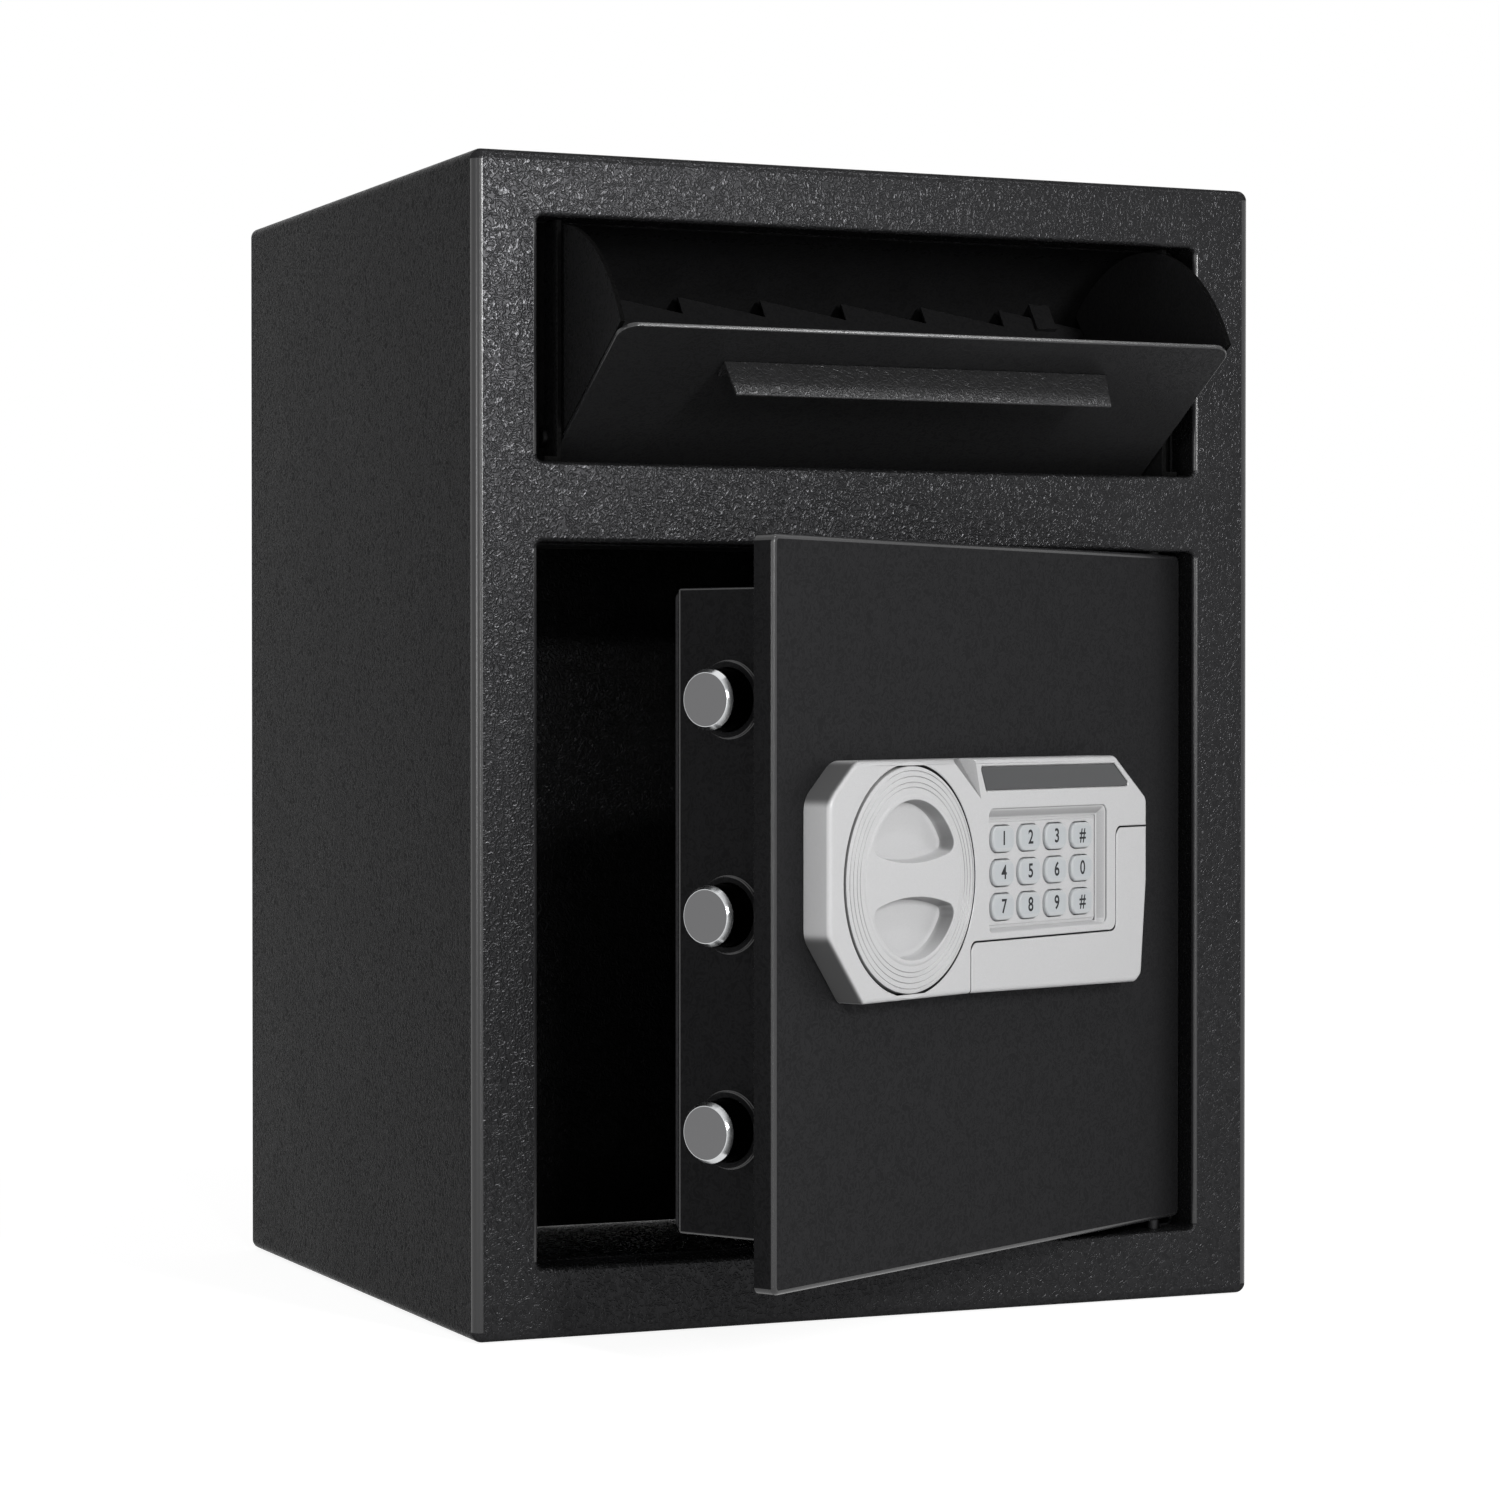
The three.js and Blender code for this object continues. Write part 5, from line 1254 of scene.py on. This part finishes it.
# Knob. A turned and sprayed disc, nearly flush in its well, with fine rings round its rim and two
# finger scoops that leave a bow-tie grip across the middle.
SCOOP_RADIUS = 32.5
SCOOP_LIP = 0.5
SCOOP_FOOT = [(0.5, 4.6), (0.75, 5.7), (1.2, 6.4), (1.9, 6.8), (2.8, 6.95), (3.6, 7.0)]
SCOOP_CORNER = 4.2
GRIP_END = 24.0
GRIP_WAIST = 14.0
FACE_EDGE = 33.8
RING_GROOVES = (37.6, 39.6, 42.0, 44.3)
GROOVE_DEPTH = 0.28
GROOVE_HALF = 0.3
KNOB_CREASE = 24.0


def scoop_ring(inset):
    """The upper scoop's outline, moved inwards: where the face's disc and the grip's big arc overlap."""
    end = GRIP_END / 2.0
    rise = end - GRIP_WAIST / 2.0
    grip_arc = (SCOOP_RADIUS ** 2 - end ** 2 + rise ** 2) / (2.0 * rise)
    grip_centre = GRIP_WAIST / 2.0 + grip_arc
    near = SCOOP_RADIUS - SCOOP_CORNER
    far = grip_arc - SCOOP_CORNER
    corner_up = (near ** 2 - far ** 2 + grip_centre ** 2) / (2.0 * grip_centre)
    corner_out = math.sqrt(near ** 2 - corner_up ** 2)
    rim_start = math.atan2(corner_up, corner_out)
    grip_end = math.atan2(corner_up - grip_centre, corner_out)
    grip_start = math.pi - grip_end
    arcs = [
        ((0.0, 0.0), SCOOP_RADIUS, rim_start, math.pi - rim_start, 64),
        ((-corner_out, corner_up), SCOOP_CORNER, math.pi - rim_start, grip_start, 12),
        ((0.0, grip_centre), grip_arc, grip_start, math.pi * 2.0 + grip_end, 40),
        ((corner_out, corner_up), SCOOP_CORNER, grip_end, rim_start, 12)]
    points = []
    for (across, up), radius, start, stop, steps in arcs:
        for step in range(steps):
            angle = start + (stop - start) * step / steps
            points.append((
                across + (radius - inset) * math.cos(angle), up + (radius - inset) * math.sin(angle)))
    return points


def scoop_cutter(flip):
    """A finger scoop as a solid: a soft lip at the face, a steep wall and a rounded foot."""
    skin = Skin()
    steps = [(-SCOOP_LIP, -CUTTER_OVERRUN), *rounding(SCOOP_LIP, 4, -1.0), *SCOOP_FOOT]
    rings = [
        skin.flat(
            [(knob_x + flip * x, knob_z + flip * z) for x, z in scoop_ring(inset)], knob_low.y + depth)
        for inset, depth in steps]
    skin.bands(*rings)
    skin.faces += [rings[0], rings[-1]]
    return skin


def lock_knob():
    skin = Skin()
    front = knob_low.y
    rim = [
        (FACE_EDGE, front), (FACE_EDGE + 0.4, front + 0.08), (FACE_EDGE + 1.2, front + 0.5),
        (FACE_EDGE + 2.2, front + 0.52)]
    for radius in RING_GROOVES:
        level = front + 0.5 + (radius - FACE_EDGE) * 0.05
        rim += [
            (radius - GROOVE_HALF, level), (radius, level + GROOVE_DEPTH), (radius + GROOVE_HALF, level)]
    rim += [
        (knob_radius - 0.9, housing_front - 0.35), (knob_radius - 0.25, housing_front - 0.05),
        (knob_radius, housing_front + 0.6), (knob_radius, knob_high.y)]
    skin.rod(rim, "y", (knob_x, knob_z), 180)
    return skin.solid("silver_knob", door_place)


knob = lock_knob()
carve(knob, [scoop_cutter(1.0), scoop_cutter(-1.0)], door_place)
# The walls of the knob's scoops that look left or down get painted shade.
dress(knob, "knob", recess_shade_paint, "lock_knob", crease=KNOB_CREASE)


# Floor, lights and camera. A white table and a white room. A key lamp in front, a tall strip for the
# near edges, a weak lamp on the left for the side, a long one high up over the hopper and faint light
# from above, with the camera at the photographed angle.
FLOOR_WHITE = (0.86, 0.86, 0.86)
FLOOR_HALF = 9000.0
FLOOR_DROP = -0.5
FLOOR_GLOW_SHARE = 0.6
FLOOR_GLOW = 1.5
ROOM_LEVEL = 0.2
OVERHEAD_LEVEL = 0.3
OVERHEAD_SPREAD = 80.0
PHOTO_PIXELS = 1500
FOCAL_PIXELS = 4076.9
CAMERA_PLACE = (-0.7564, -1.7693, 0.27035)
CAMERA_YAW = 0.40874
CAMERA_PITCH = -0.01278


def seen_directly(recipe):
    """1 where the camera, a mirror or a window looks at something, 0 where it only gives light."""
    rays = recipe.node("ShaderNodeLightPath").socket.node.outputs
    camera_ray, glossy_ray, window_ray = (
        Signal(recipe, rays[f"Is {kind} Ray"]) for kind in ("Camera", "Glossy", "Transmission"))
    return camera_ray.maths("MINIMUM", camera_ray + glossy_ray + window_ray, 1.0)


floor_skin = Skin()
floor_skin.faces.append(floor_skin.ring([
    (x, y, FLOOR_DROP) for x, y in rectangle(-FLOOR_HALF, -FLOOR_HALF, FLOOR_HALF, FLOOR_HALF)]))
floor = floor_skin.solid("floor", cabinet_place)
floor_paint = Finish("floor_paint", FLOOR_WHITE, 0.9, even={"Specular IOR Level": 0.0})
glow = floor_paint.node("ShaderNodeEmission", None, {"Color": (1.0, 1.0, 1.0), "Strength": FLOOR_GLOW})
lit_floor = floor_paint.node("ShaderNodeMixShader", None, {
    0: seen_directly(floor_paint) * FLOOR_GLOW_SHARE, 1: Signal(floor_paint, floor_paint.shader.outputs[0]),
    2: glow})
floor_paint.feed(floor_paint.tree.nodes["Material Output"].inputs["Surface"], lit_floor)
floor.data.materials.append(floor_paint.material)

world = bpy.data.worlds.new("white_room")
bpy.context.scene.world = world
world.use_nodes = True
room = Recipe(world.node_tree)
backdrop = room.tree.nodes["Background"]
room.feed(backdrop.inputs["Color"], (1.0, 1.0, 1.0))
room.feed(backdrop.inputs["Strength"], seen_directly(room) * (1.0 - ROOM_LEVEL) + ROOM_LEVEL)


def soft_lamp(name, place, aim, size, watts):
    lamp = bpy.data.lights.new(name, "AREA")
    lamp.shape = "RECTANGLE"
    lamp.size, lamp.size_y = size
    lamp.energy = watts
    holder = placed(name, lamp)
    holder.location = place
    holder.rotation_euler = (Vector(aim) - Vector(place)).to_track_quat("-Z", "Y").to_euler()


soft_lamp("key_lamp", place=(0.26, -1.7, 0.7), aim=(-0.1, -0.16, 0.35), size=(0.16, 0.4), watts=15.5)
soft_lamp("edge_strip", place=(-0.45, -1.64, 0.5), aim=(-0.18, -0.16, 0.3), size=(0.08, 1.1), watts=3.5)
soft_lamp("side_lamp", place=(-1.5, -1.1, 0.35), aim=(-0.1, -0.25, 0.22), size=(0.3, 0.4), watts=4.0)
soft_lamp("hopper_lamp", place=(0.62, -0.95, 1.9), aim=(0.0, -0.2, 0.42), size=(0.5, 0.1), watts=6.0)
overhead = bpy.data.lights.new("overhead", "SUN")
overhead.energy = OVERHEAD_LEVEL
overhead.angle = math.radians(OVERHEAD_SPREAD)
placed("overhead", overhead)

camera = bpy.data.cameras.new("camera")
camera.sensor_width = 36.0
camera.lens = FOCAL_PIXELS * camera.sensor_width / PHOTO_PIXELS
camera_holder = placed("camera", camera)
camera_holder.location = CAMERA_PLACE
camera_holder.rotation_euler = (math.pi / 2.0 + CAMERA_PITCH, 0.0, -CAMERA_YAW)
bpy.context.scene.camera = camera_holder
bpy.context.scene.view_settings.view_transform = "Standard"
